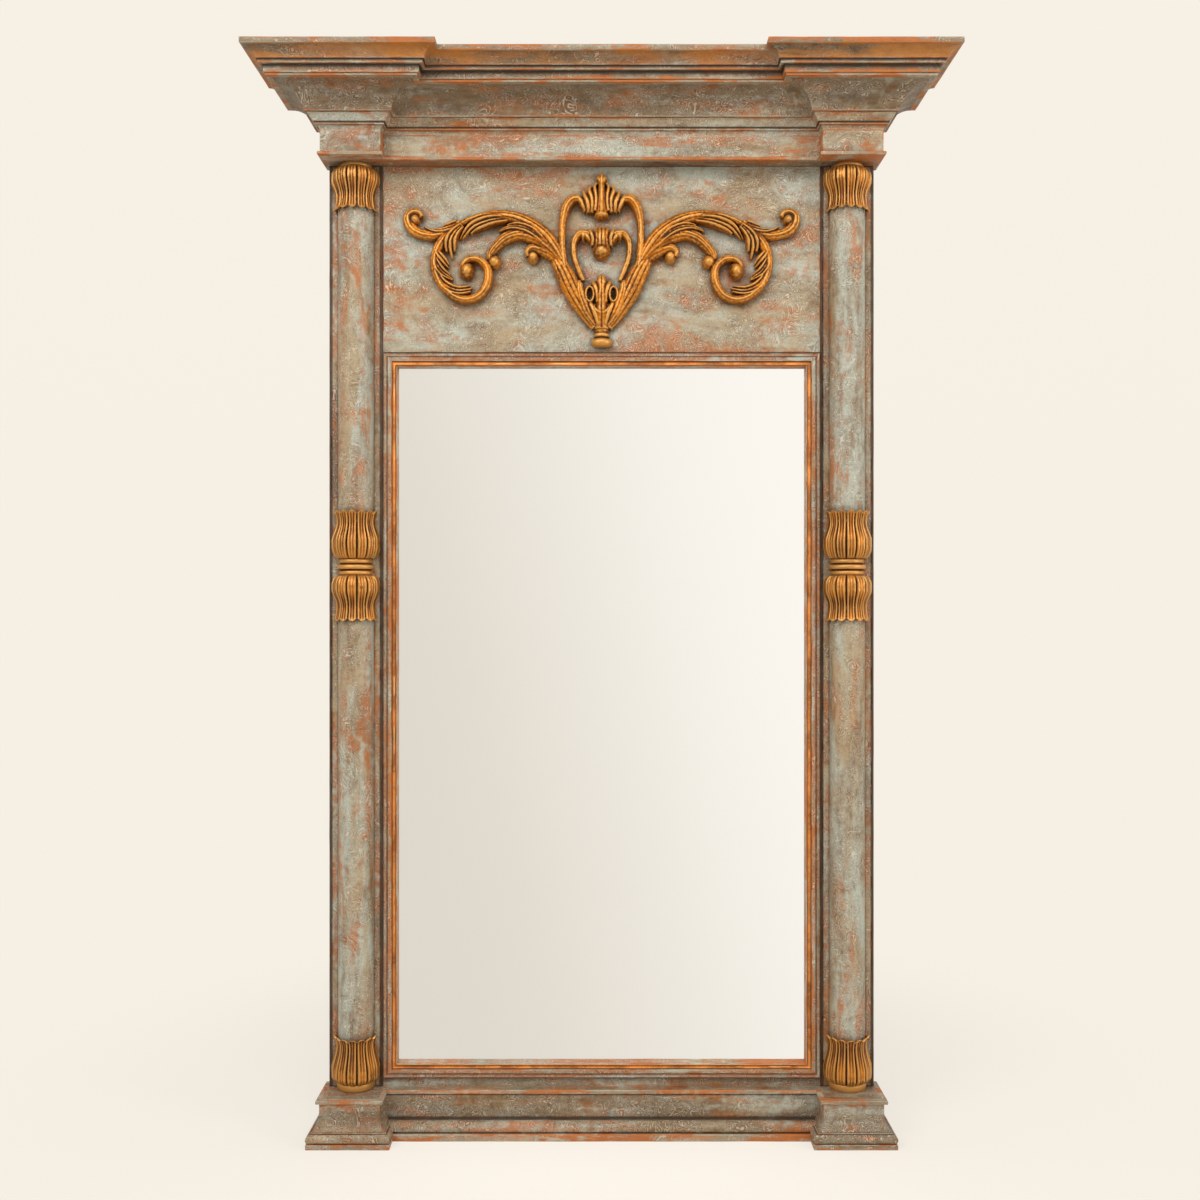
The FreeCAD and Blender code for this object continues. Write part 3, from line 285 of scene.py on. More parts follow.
def painted(name, stretch, red=0.5, glaze=0.5, shift=0.0):
    """Aged paint whose streaks run along the axis with the smallest stretch."""
    material = bpy.data.materials.new(name)
    material.use_nodes = True
    tree = material.node_tree
    shader = tree.nodes["Principled BSDF"]
    point = add_node(tree, "ShaderNodeTexCoord").outputs["Object"]
    turned = add_node(tree, "ShaderNodeMapping",
                      {"Vector": point, "Location": (shift, shift * 0.7, shift * 1.3), "Scale": stretch})
    paint = add_node(tree, "ShaderNodeGroup", node_tree=aged_paint)
    paint.inputs["Red"].default_value = red
    paint.inputs["Glaze"].default_value = glaze
    tree.links.new(point, paint.inputs["Point"])
    tree.links.new(turned.outputs[0], paint.inputs["Streak"])
    for mask in ("Edge", "Hollow"):
        mark = add_node(tree, "ShaderNodeAttribute", attribute_name=mask.lower())
        tree.links.new(mark.outputs["Fac"], paint.inputs[mask])
    bump = add_node(tree, "ShaderNodeBump",
                    {"Height": paint.outputs["Height"], "Distance": 0.0011, "Strength": 0.55})
    facing = add_node(tree, "ShaderNodeSeparateXYZ", {0: add_node(tree, "ShaderNodeNewGeometry").outputs["Normal"]})
    grain = cloud(tree, turned.outputs[0], 6.0, 8.0, 0.65, 0.5)
    wood = blend(tree, band(tree, grain, 0.35, 0.65), BARE, BARE_DARK)
    behind = band(tree, facing.outputs["Y"], 0.9, 0.97)
    tree.links.new(blend(tree, behind, paint.outputs["Color"], wood), shader.inputs["Base Color"])
    tree.links.new(paint.outputs["Roughness"], shader.inputs["Roughness"])
    tree.links.new(bump.outputs[0], shader.inputs["Normal"])
    shader.inputs["Specular IOR Level"].default_value = 0.3
    shader.inputs["Coat Weight"].default_value = 0.05
    shader.inputs["Coat Roughness"].default_value = 0.35
    return material


paint_upright = painted("paint_upright", (3.4, 3.4, 0.9), red=0.72, glaze=0.68)

tidy_texture = bpy.data.textures.new("hand_work", "CLOUDS")
tidy_texture.noise_scale = 0.045
tidy_texture.noise_depth = 2


def leave_all():
    """Object mode, with nothing selected."""
    if bpy.context.object and bpy.context.object.mode != "OBJECT":
        bpy.ops.object.mode_set(mode="OBJECT")
    bpy.ops.object.select_all(action="DESELECT")


def edit(piece):
    """Edit mode on one piece, all of it selected."""
    leave_all()
    bpy.context.view_layer.objects.active = piece
    piece.select_set(True)
    bpy.ops.object.mode_set(mode="EDIT")
    bpy.ops.mesh.select_mode(type="VERT")
    bpy.ops.mesh.select_all(action="SELECT")


def apply(piece, kind, **settings):
    """One modifier, set and applied."""
    leave_all()
    bpy.context.view_layer.objects.active = piece
    piece.select_set(True)
    modifier = piece.modifiers.new(kind.lower(), kind)
    for name, value in settings.items():
        setattr(modifier, name, value)
    bpy.ops.object.modifier_apply(modifier=modifier.name)


def mark_corners(piece, reach=0.0042):
    """Store where each vertex lies near an arris or in a corner, for worn edges with a painted
    highlight on the arrises, and for brown glaze with painted shade in the corners. The cut faces of mitres are
    passed over."""
    mesh = piece.data
    count = len(mesh.vertices)
    beside = {}
    for polygon in mesh.polygons:
        slant = max(abs(value) for value in polygon.normal) < 0.75 and len(polygon.vertices) > 4
        for key in polygon.edge_keys:
            beside.setdefault(key, []).append(None if slant else polygon)
    edge, hollow = np.zeros(count), np.zeros(count)
    for (a, b), faces in beside.items():
        if len(faces) != 2 or None in faces:
            continue
        one, two = faces
        bend = one.normal.angle(two.normal, 0)
        if bend < 0.2:
            continue
        mask = edge if one.normal.dot(two.center - one.center) < 0 else hollow
        level = min((bend - 0.2) / 0.3, 1.0)
        mask[a] = max(mask[a], level)
        mask[b] = max(mask[b], level)
    pairs, places = np.empty(len(mesh.edges) * 2, int), np.empty(count * 3)
    mesh.edges.foreach_get("vertices", pairs)
    mesh.vertices.foreach_get("co", places)
    one, two = pairs.reshape(-1, 2).T
    places = places.reshape(-1, 3)
    fade = np.linalg.norm(places[one] - places[two], axis=1) / reach
    for name, mask in (("edge", edge), ("hollow", hollow)):
        for _ in range(6):
            np.maximum.at(mask, two, mask[one] - fade)
            np.maximum.at(mask, one, mask[two] - fade)
        layer = mesh.attributes.get(name) or mesh.attributes.new(name, "FLOAT", "POINT")
        layer.data.foreach_set("value", np.clip(mask, 0, 1).astype(np.float32))


def set_up(piece, material, slot, *nodes, waver=WAVER, smooth=40):
    """The last steps of every piece: hand-made waver, masks for wear with painted highlight and for glaze with
    painted shade, smooth shading, material and place.
    """
    edit(piece)
    bpy.ops.mesh.remove_doubles(threshold=1e-5)
    bpy.ops.mesh.normals_make_consistent(inside=False)
    leave_all()
    mark_corners(piece)
    if waver:
        apply(piece, "DISPLACE", texture=tidy_texture, strength=waver, mid_level=0.5, texture_coords="LOCAL")
    leave_all()
    piece.select_set(True)
    bpy.context.view_layer.objects.active = piece
    bpy.ops.object.shade_smooth_by_angle(angle=math.radians(smooth))
    piece.data.materials.clear()
    piece.data.materials.append(material)
    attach(piece, "root")
    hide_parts(*nodes)
    return piece


def rounded(corners, support=0.005, split=0.012):
    """A section's outline with its corners eased and its long straights split. A corner is (out,
    up, ease); a fourth and fifth value are the radius and hand of an arc to the next corner."""
    line = []
    count = len(corners)
    for index, corner in enumerate(corners):
        here = Vector(corner[:2])
        before = Vector(corners[index - 1][:2])
        after = Vector(corners[(index + 1) % count][:2])
        ease = corner[2]
        from_arc = len(corners[index - 1]) > 3
        to_arc = len(corner) > 3
        if ease and not from_arc and (before - here).length > 3 * support:
            line += [here + (before - here).normalized() * away for away in (support, support * 0.4)]
        if ease:
            back = here + (before - here).normalized() * min(ease, (before - here).length * 0.4)
            on = here + (after - here).normalized() * min(ease, (after - here).length * 0.4)
            for share in (0, 1 / 3, 2 / 3, 1):
                line.append(back.lerp(here, share).lerp(here.lerp(on, share), share))
        else:
            line.append(here)
        if ease and not to_arc and (after - here).length > 3 * support:
            line += [here + (after - here).normalized() * away for away in (support * 0.4, support)]
        if not to_arc and (after - here).length > 3 * split:
            parts = int((after - here).length / split)
            line += [here.lerp(after, part / parts) for part in range(1, parts)]
        if to_arc:
            radius, hand = corner[3:]
            half = (after - here) / 2
            deep = math.sqrt(max(radius ** 2 - half.length ** 2, 0))
            side = Vector((-half.y, half.x)).normalized()
            centre = here + half - side * deep * hand
            start = math.atan2(here.y - centre.y, here.x - centre.x)
            turn = 2 * math.asin(min(half.length / radius, 1)) * -hand
            steps = max(int(abs(turn) / 0.11), 3)
            for step in range(1, steps):
                angle = start + turn * step / steps
                line.append(centre + Vector((math.cos(angle), math.sin(angle))) * radius)
    return line


def cut_across(piece, axis, cuts):
    """Parallel cuts through every side that runs the whole way along an axis."""
    mesh = piece.data
    span = max(abs(mesh.vertices[edge.vertices[0]].co[axis] - mesh.vertices[edge.vertices[1]].co[axis])
               for edge in mesh.edges)
    edit(piece)
    bpy.ops.mesh.select_mode(type="EDGE")
    bpy.ops.mesh.select_all(action="DESELECT")
    bpy.ops.object.mode_set(mode="OBJECT")
    for edge in mesh.edges:
        one, two = (mesh.vertices[index].co[axis] for index in edge.vertices)
        edge.select = abs(one - two) > 0.99 * span
    bpy.ops.object.mode_set(mode="EDIT")
    bpy.ops.mesh.subdivide(number_cuts=cuts)


def length_of(name, outline, long, ends, reach=0.15, step=0.016):
    """A length of section along X, its back line at y = 0 and its face to -Y: the outline is
    drawn point by point, filled, extruded, cut across in short steps and cut off at its mitres."""
    spare = reach if any(ends) else 0
    start, span = -long / 2 - spare, long + 2 * spare
    leave_all()
    bpy.ops.mesh.primitive_plane_add(size=0.001, location=(0, 0, 0))
    piece = bpy.context.object
    piece.name = piece.data.name = name
    edit(piece)
    bpy.ops.mesh.merge(type="CENTER")
    first = outline[0]
    bpy.ops.transform.translate(value=(start, -first[0], first[1]))
    for here, there in zip(outline, outline[1:]):
        bpy.ops.mesh.extrude_region_move(
            TRANSFORM_OT_translate={"value": (0, here[0] - there[0], there[1] - here[1])})
    bpy.ops.mesh.select_all(action="SELECT")
    bpy.ops.mesh.edge_face_add()
    bpy.ops.mesh.extrude_region_move(TRANSFORM_OT_translate={"value": (span, 0, 0)})
    cut_across(piece, 0, min(max(int(span / step), 1), 100))
    for way, end in zip((-1, 1), ends):
        bpy.ops.mesh.select_all(action="SELECT")
        if spare:
            bpy.ops.mesh.bisect(plane_co=(way * long / 2, 0, 0), plane_no=(way, end, 0),
                                use_fill=True, clear_outer=True)
        else:
            bpy.ops.mesh.bisect(plane_co=(way * (long / 2 - 0.003), 0, 0), plane_no=(way, 0, 0))
    leave_all()
    return piece


def settle(piece, move, turn=None):
    """Turn and move a piece's mesh, and leave its object at the origin."""
    matrix = Matrix.Translation(move)
    if turn is not None:
        matrix = matrix @ turn.to_4x4()
    piece.data.transform(matrix)
    return piece


def join(name, pieces):
    """Several meshes as one piece."""
    leave_all()
    for piece in pieces:
        piece.select_set(True)
    bpy.context.view_layer.objects.active = pieces[0]
    bpy.ops.object.join()
    pieces[0].name = pieces[0].data.name = name
    return pieces[0]


def mm(*corners):
    """Section corners given in millimetres."""
    return [tuple(value * 0.001 for value in corner[:4]) + tuple(corner[4:]) for corner in corners]


UPRIGHT = Matrix.Rotation(-math.pi / 2, 3, "Y")
stiles = []
for word in ("left", "right"):
    low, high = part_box(word + "_stile")
    panel_low, panel_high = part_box("crest_panel")
    half = (high.x - low.x) / 2
    thick = 0.025
    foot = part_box("plinth_cap_left")[1].z
    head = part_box("soffit_board")[0].z
    outline = rounded(((0, -half, 0.001), (thick, -half, 0.0022), (thick, half, 0.0022), (0, half, 0.001)),
                      split=0.004)
    stile = length_of("stile_" + word, outline, head - foot, (0, 0), step=0.02)
    settle(stile, ((low.x + high.x) / 2, 0, (foot + head) / 2), UPRIGHT)
    stiles.append(set_up(stile, paint_upright, "painted_wood", word + "_stile"))


# ---------------------------------------------------------------------------------------------
# Crest panel. One board between the stiles over the glass, painted with a loaded brush whose
# swirls still show, with brown glaze and a painted shadow left round the carving.

paint_panel = painted("paint_panel", (1.0, 3.0, 2.6), red=0.54, glaze=0.42, shift=5.1)
low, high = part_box("crest_panel")
left_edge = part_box("sight_frame_left")[0].x
outline = rounded(((0.004, low.z, 0.001), (0.022, low.z, 0.0015), (0.022, high.z, 0.0015),
                   (0.004, high.z, 0.001)), split=0.005)
panel = length_of("crest_panel_board", outline, -2 * left_edge, (0, 0), step=0.005)
set_up(panel, paint_panel, "painted_wood", "crest_panel", waver=0.0006)


# ---------------------------------------------------------------------------------------------
# Plinths and base rail. Each plinth is a cap, a die that flares at the foot, and a torus on a
# slab; the moulded base rail runs between them in front of a plain bottom rail.

CAP = mm((-3, 77.5, 0.5), (6, 77.5, 1.6), (6, 84.5, 1.8), (-3, 84.5, 0.5))
DIE = mm((-3, 27, 0), (13.5, 27, 1.0, 26, 1), (0, 53, 0), (0, 77.5, 0), (-3, 77.5, 0))
FOOT = mm((-3, 0, 0), (21, 0, 1.5), (21, 10, 2.2), (17.5, 10, 0.6, 9.5, -1), (13.5, 27, 0.8), (-3, 27, 0))
BASE = mm((22, 0, 0.5), (73, 0, 1.2), (73, 13, 2.0), (66, 13, 0.6, 12.5, -1), (50, 31, 1.0), (40, 31, 0.8),
          (40, 77, 0.8), (44, 77, 1.4), (44, 84.5, 2.0), (22, 84.5, 0.5))
BLOCK_HALF = 0.056
paint_base = painted("paint_base", (0.8, 3.4, 4.2), red=0.56, glaze=0.8, shift=2.3)
TURN_LEFT = Matrix.Rotation(-math.pi / 2, 3, "Z")
TURN_RIGHT = Matrix.Rotation(math.pi / 2, 3, "Z")


def wrapped(name, section, side, face, level, back=0.0, inner_end=0, reach=0.15):
    """Mitred lengths round the three open sides of an end block."""
    outline = rounded(section)
    front = settle(length_of(name, outline, 2 * BLOCK_HALF, (1, 1), reach),
                   (side * COLUMN_X, -face, level))
    outer = length_of(name, outline, face, (0, 1) if side < 0 else (1, 0), reach)
    turns = {-1: TURN_LEFT, 1: TURN_RIGHT}
    settle(outer, (side * (COLUMN_X + BLOCK_HALF), -face / 2, level), turns[side])
    inner = length_of(name, outline, face - back, (1, inner_end) if side < 0 else (inner_end, 1), reach)
    settle(inner, (side * (COLUMN_X - BLOCK_HALF), -(face + back) / 2, level), turns[-side])
    return [front, outer, inner]


def slab_board(name, low, high, ease=0.001):
    """A plain board between two corners, its edges eased and its length cut in short steps."""
    outline = rounded(((-high.y, low.z, ease), (-low.y, low.z, ease), (-low.y, high.z, ease),
                       (-high.y, high.z, ease)))
    board = length_of(name, outline, high.x - low.x, (0, 0), step=0.02)
    return settle(board, ((low.x + high.x) / 2, 0, 0))


for word, side in (("left", -1), ("right", 1)):
    face = 0.090
    x_low = side * COLUMN_X - BLOCK_HALF
    x_high = side * COLUMN_X + BLOCK_HALF
    for role, section in (("cap", CAP), ("die", DIE), ("foot", FOOT)):
        node = "plinth_%s_%s" % (role, word)
        lengths = wrapped(node, section, side, face, 0, reach=0.05)
        low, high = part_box(node)
        core = slab_board(node, Vector((x_low + 0.002, -face + 0.002, low.z)),
                          Vector((x_high - 0.002, 0, high.z)), 0.0)
        set_up(join(node + "_block", lengths + [core]), paint_base, "painted_wood", node, waver=0.0007)

outline = rounded(BASE)
base = length_of("base_rail_moulding", outline, 2 * (COLUMN_X - BLOCK_HALF), (0, 0))
set_up(base, paint_base, "painted_wood", "base_rail")
low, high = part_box("bottom_rail")
rail = slab_board("bottom_rail_board", Vector((left_edge, low.y, low.z)), Vector((-left_edge, high.y, high.z)))
set_up(rail, paint_base, "painted_wood", "bottom_rail")


# ---------------------------------------------------------------------------------------------
# Entablature. A nosed soffit board, plain frieze, bed mould, large cove and crown, mitred round
# the end blocks; the crown's own cove was gilded once and is rubbed to orange.

paint_level = painted("paint_level", (0.8, 3.4, 4.2), red=0.6, glaze=0.5, shift=4.1)
paint_cove = painted("paint_cove", (0.8, 3.4, 4.2), red=0.5, glaze=0.98, shift=6.3)
paint_crown = painted("paint_crown", (0.8, 3.6, 4.6), red=0.6, glaze=0.95, shift=7.7)
tree = paint_crown.node_tree
point = add_node(tree, "ShaderNodeTexCoord").outputs["Object"]
level = add_node(tree, "ShaderNodeSeparateXYZ", {0: point}).outputs["Z"]
strip = maths(tree, "MULTIPLY", band(tree, level, 1.972, 1.974), band(tree, level, 1.989, 1.991, 1.0, 0.0))
streaks = add_node(tree, "ShaderNodeMapping", {"Vector": point, "Scale": (1.2, 4, 7)}).outputs[0]
patches = band(tree, cloud(tree, streaks, 4.0, 7.0, 0.66, 0.5), 0.4, 0.6, 1.0, 0.0)
old_gold = blend(tree, cloud(tree, point, 60.0, 5.0, 0.7), colour(150, 84, 26), colour(206, 138, 58))
painted_colour = tree.nodes["Group"].outputs["Color"]
tree.links.new(blend(tree, maths(tree, "MULTIPLY", maths(tree, "MULTIPLY", strip, patches), 0.85),
                     painted_colour, old_gold), tree.nodes["Principled BSDF"].inputs["Base Color"])
BED = mm((-3, 0, 0), (0, 0, 0.4, 11, 1), (5, 9, 0.4), (8, 9, 0.9), (8, 14, 0.9), (10, 14, 0.5),
         (20, 28, 1.4), (-3, 28, 0))
COVE = mm((-3, 0, 0), (24, 0, 0.8, 48, 1), (72, 42, 0.6), (80, 42, 1.0), (80, 46, 1.0), (-3, 46, 0))
CROWN = mm((-3, 0, 0), (83, 0, 1.6), (83, 14, 0.7), (91, 14, 1.3), (91, 21, 1.2), (94, 21, 0.5, 22, 1),
           (114, 38.5, 0.6), (116.5, 38.5, 1.5), (116.5, 49, 1.8), (-3, 49, 0.5))
BLOCK_FACE, CENTRE_FACE = 0.085, 0.055
CENTRE_SPAN = 2 * (COLUMN_X - BLOCK_HALF)

for label, section, paint in (("bed_mould", BED, paint_level), ("cove_mould", COVE, paint_cove),
                              ("crown_mould", CROWN, paint_crown)):
    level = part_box(label + "_centre")[0].z
    for word, side in (("left", -1), ("right", 1)):
        node = "%s_%s" % (label, word)
        lengths = wrapped(node, section, side, BLOCK_FACE, level, CENTRE_FACE, -1)
        set_up(join(node + "_run", lengths), paint, "painted_wood", node)
    centre = length_of(label, rounded(section), CENTRE_SPAN, (-1, -1))
    settle(centre, (0, -CENTRE_FACE, level))
    centre.name = centre.data.name = label + "_centre_run"
    set_up(centre, paint, "painted_wood", label + "_centre")

for word in ("left", "right", "centre"):
    low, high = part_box("frieze_" + word)
    core = slab_board("frieze_%s_block" % word, low, high, 0.0012)
    set_up(core, paint_level, "painted_wood", "frieze_" + word)

NOSING = mm((0, 0, 0.8), (4.5, 0, 1.6), (4.5, 6, 1.6), (0, 6, 0.5))
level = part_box("soffit_board")[0].z
lengths = []
for side in (-1, 1):
    lengths += wrapped("soffit", NOSING, side, BLOCK_FACE, level, CENTRE_FACE, -1, reach=0.02)
centre = length_of("soffit", rounded(NOSING), CENTRE_SPAN, (-1, -1), reach=0.02)
lengths.append(settle(centre, (0, -CENTRE_FACE, level)))
x_out, x_in = COLUMN_X + BLOCK_HALF, COLUMN_X - BLOCK_HALF
lengths.append(slab_board("soffit", Vector((-x_out, -CENTRE_FACE, level)), Vector((x_out, 0, level + 0.006)), 0))
for side in (-1, 1):
    lengths.append(slab_board("soffit", Vector((side * COLUMN_X - BLOCK_HALF, -BLOCK_FACE, level)),
                              Vector((side * COLUMN_X + BLOCK_HALF, -CENTRE_FACE, level + 0.006)), 0))
set_up(join("soffit_nosed_board", lengths), paint_crown, "painted_wood", "soffit_board", waver=0.0005)


# ---------------------------------------------------------------------------------------------
# Mirror moulding and gilt bead. Four mitred lengths of a stepped moulding round the glass, with
# a gilded bead let into its inner edge.

FRAME = mm((0, 4, 0.4), (0, 30, 0.8, 4.9, -1), (9, 30, 0.6), (17.5, 30, 0.8), (17.5, 27, 0.3), (27, 27, 0.8),
           (27, 14, 0.3), (19, 14, 0), (19, 4, 0))
BEAD = mm((17.5, 27, 0), (17.5, 30.5, 0.3, 4.05, -1), (25.5, 30.5, 0.3), (25.5, 27, 0))
STILE_EDGE = 0.415
FRAME_LOW, FRAME_HIGH = 0.1015, 1.478
TIPPED = Matrix.Rotation(math.pi / 2, 3, "X")
paint_frame_level = painted("paint_frame_level", (0.9, 6, 9), red=0.9, glaze=0.5, shift=11.2)
paint_frame_upright = painted("paint_frame_upright", (9, 6, 0.9), red=0.9, glaze=0.5, shift=13.4)

GOLD = colour(190, 114, 42)
GOLD_BRIGHT = colour(220, 168, 100)
GOLD_DEEP = colour(128, 70, 24)
CREVICE = colour(46, 24, 9)


def build_gilding():
    """Old water gilding: leaf over a red-brown bole, rubbed bright on the ridges with a painted
    highlight there, and dark glaze with painted shade left in the hollows."""
    group, given, out = new_group(
        "aged_gilding",
        (("Point", "Vector", None), ("Edge", "Float", 0.0), ("Hollow", "Float", 0.0), ("Level", "Float", 1.0),
         ("Strength", "Float", 1.0)),
        (("Color", "Color"), ("Roughness", "Float"), ("Metallic", "Float"), ("Height", "Float")))
    point = given["Point"]
    broad = band(group, cloud(group, point, 26.0, 5.0, 0.6), 0.34, 0.66)
    fine = cloud(group, point, 190.0, 6.0, 0.7)
    leaf = blend(group, broad, GOLD, GOLD_DEEP)
    leaf = blend(group, maths(group, "MULTIPLY", band(group, fine, 0.5, 0.8), 0.4), leaf, GOLD_BRIGHT)
    # Leaf rubbed bright on the ridges (edge mask), which is also a painted highlight there.
    rub = maths(group, "ADD", given["Edge"], maths(group, "MULTIPLY", maths(group, "SUBTRACT", fine, 0.5), 0.8))
    leaf = blend(group, maths(group, "MULTIPLY", band(group, rub, 0.25, 0.9), 0.75), leaf, GOLD_BRIGHT)
    leaf = add_node(group, "ShaderNodeHueSaturation",
                    {"Color": leaf, "Value": given["Level"], "Saturation": given["Strength"]}).outputs[0]
    # Dark glaze and painted shade in the hollows: the leaf is darkened towards CREVICE where the carving lies low,
    # and made rougher and less metallic there.
    glaze_and_shade = maths(group, "ADD", given["Hollow"], maths(group, "MULTIPLY", maths(group, "SUBTRACT", fine, 0.5), 0.5))
    glaze_and_shade = band(group, glaze_and_shade, 0.12, 0.75)
    leaf = blend(group, maths(group, "MULTIPLY", glaze_and_shade, 0.93), leaf, CREVICE)
    group.links.new(leaf, out["Color"])
    group.links.new(band(group, glaze_and_shade, 0.0, 1.0, 0.43, 0.7), out["Roughness"])
    group.links.new(band(group, glaze_and_shade, 0.0, 0.7, 0.5, 0.06), out["Metallic"])
    high = maths(group, "ADD", maths(group, "MULTIPLY", fine, 0.6), maths(group, "MULTIPLY", broad, 0.6))
    group.links.new(high, out["Height"])
    return group


aged_gilding = build_gilding()


def gilded(name, level, strength):
    """A gilt finish; level is how bright its leaf is left and strength how deep its yellow."""
    material = bpy.data.materials.new(name)
    material.use_nodes = True
    tree = material.node_tree
    shader = tree.nodes["Principled BSDF"]
    leaf = add_node(tree, "ShaderNodeGroup", node_tree=aged_gilding)
    leaf.inputs["Level"].default_value = level
    leaf.inputs["Strength"].default_value = strength
    tree.links.new(add_node(tree, "ShaderNodeTexCoord").outputs["Object"], leaf.inputs["Point"])
    for mask in ("Edge", "Hollow"):
        mark = add_node(tree, "ShaderNodeAttribute", attribute_name=mask.lower())
        tree.links.new(mark.outputs["Fac"], leaf.inputs[mask])
    bump = add_node(tree, "ShaderNodeBump",
                    {"Height": leaf.outputs["Height"], "Distance": 0.0006, "Strength": 0.45})
    for source, target in (("Color", "Base Color"), ("Roughness", "Roughness"), ("Metallic", "Metallic")):
        tree.links.new(leaf.outputs[source], shader.inputs[target])
    tree.links.new(bump.outputs[0], shader.inputs["Normal"])
    shader.inputs["Specular IOR Level"].default_value = 0.25
    return material


bright_gilt = gilded("gilding_bead", 1.5, 0.97)

middle = (FRAME_LOW + FRAME_HIGH) / 2
tall = FRAME_HIGH - FRAME_LOW
SIDES = (("top", 2 * STILE_EDGE, (0, 0, FRAME_HIGH), 0, paint_frame_level),
         ("bottom", 2 * STILE_EDGE, (0, 0, FRAME_LOW), 180, paint_frame_level),
         ("left", tall, (-STILE_EDGE, 0, middle), -90, paint_frame_upright),
         ("right", tall, (STILE_EDGE, 0, middle), 90, paint_frame_upright))
for word, long, place, angle, paint in SIDES:
    turn = Matrix.Rotation(math.radians(angle), 3, "Y") @ TIPPED
    length = length_of("mirror_moulding_" + word, rounded(FRAME, 0.002), long, (-1, -1), 0.05)
    set_up(settle(length, place, turn), paint, "painted_wood", "sight_frame_" + word, waver=0.0005)
    bead = length_of("bead_" + word, rounded(BEAD, 0.002), long, (-1, -1), 0.05)
    set_up(settle(bead, place, turn), bright_gilt, "gilt_wood", "gilt_bead_" + word, waver=0.0004)


# ---------------------------------------------------------------------------------------------
# Glass and back. Silvered float glass, held by glazing blocks and a thin back board with
# countersunk screws; bare softwood behind, and steel hanger plates let into the stiles.

silver = bpy.data.materials.new("silvered_glass")
silver.use_nodes = True
tree = silver.node_tree
shader = tree.nodes["Principled BSDF"]
point = add_node(tree, "ShaderNodeTexCoord").outputs["Object"]
haze = cloud(tree, point, 3.0, 3.0)
tree.links.new(blend(tree, haze, (0.955, 0.955, 0.95, 1), (0.975, 0.975, 0.97, 1)), shader.inputs["Base Color"])
tree.links.new(band(tree, haze, 0.3, 0.7, 0.0, 0.02), shader.inputs["Roughness"])
shader.inputs["Metallic"].default_value = 1.0
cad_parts["mirror_glass"].data.materials.clear()
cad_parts["mirror_glass"].data.materials.append(silver)

bare = bpy.data.materials.new("bare_softwood")
bare.use_nodes = True
tree = bare.node_tree
shader = tree.nodes["Principled BSDF"]
point = add_node(tree, "ShaderNodeTexCoord").outputs["Object"]
along = add_node(tree, "ShaderNodeMapping", {"Vector": point, "Scale": (14, 14, 0.9)}).outputs[0]
grain = cloud(tree, along, 3.0, 8.0, 0.65, 0.5)
tint = blend(tree, band(tree, grain, 0.35, 0.65), BARE, BARE_DARK)
tint = blend(tree, maths(tree, "MULTIPLY", band(tree, cloud(tree, point, 5.0), 0.45, 0.7), 0.5), tint,
             colour(74, 60, 46))
tree.links.new(tint, shader.inputs["Base Color"])
tree.links.new(band(tree, grain, 0.3, 0.7, 0.62, 0.8), shader.inputs["Roughness"])
bump = add_node(tree, "ShaderNodeBump", {"Height": grain, "Distance": 0.0006, "Strength": 0.5})
tree.links.new(bump.outputs[0], shader.inputs["Normal"])
for node in ("back_board", "glazing_blocks", "dust_board"):
    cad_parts[node].data.materials.clear()
    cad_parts[node].data.materials.append(bare)

zinc = bpy.data.materials.new("zinc_plate")
zinc.use_nodes = True
tree = zinc.node_tree
shader = tree.nodes["Principled BSDF"]
dull = cloud(tree, add_node(tree, "ShaderNodeTexCoord").outputs["Object"], 160.0, 5.0)
tree.links.new(blend(tree, dull, colour(150, 150, 146), colour(188, 188, 184)), shader.inputs["Base Color"])
tree.links.new(band(tree, dull, 0.3, 0.7, 0.3, 0.5), shader.inputs["Roughness"])
shader.inputs["Metallic"].default_value = 0.9
for node in ("fixing_screws", "hanger_plates"):
    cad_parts[node].data.materials.clear()
    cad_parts[node].data.materials.append(zinc)


# ---------------------------------------------------------------------------------------------
# Column shafts. Half-round stock planted on the stiles, in two lengths a side, each end held in
# the mouth of a carved tulip.

paint_shaft = painted("paint_shaft", (4.2, 4.2, 0.8), red=0.52, glaze=0.48, shift=17.9)
SHAFT_SIDES = 72
shafts = []
for word, side in (("left", -1), ("right", 1)):
    for part in ("lower", "upper"):
        node = "column_shaft_%s_%s" % (part, word)
        low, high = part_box(node)
        leave_all()
        bpy.ops.mesh.primitive_circle_add(vertices=SHAFT_SIDES, radius=(high.x - low.x) / 2,
                                          location=(side * COLUMN_X, -0.025, low.z), fill_type="NGON")
        shaft = bpy.context.object
        shaft.name = shaft.data.name = node + "_half_round"
        bpy.ops.object.transform_apply(location=True)
        edit(shaft)
        bpy.ops.mesh.extrude_region_move(TRANSFORM_OT_translate={"value": (0, 0, high.z - low.z)})
        cut_across(shaft, 2, int((high.z - low.z) / 0.02))
        bpy.ops.mesh.select_all(action="SELECT")
        bpy.ops.mesh.bisect(plane_co=(0, -0.025, 0), plane_no=(0, 1, 0), use_fill=True, clear_outer=True)
        shafts.append(set_up(shaft, paint_shaft, "painted_wood", node, waver=0.0008))


# ---------------------------------------------------------------------------------------------
# Tulips and collars. Turned and carved limewood, gilded: fluted petals with a fine rib standing
# in each groove, tips notched and curled over the shaft, and three turned rings between them.

PETALS = 7
brown_gilt = gilded("gilding_tulip", 0.82, 1.03)


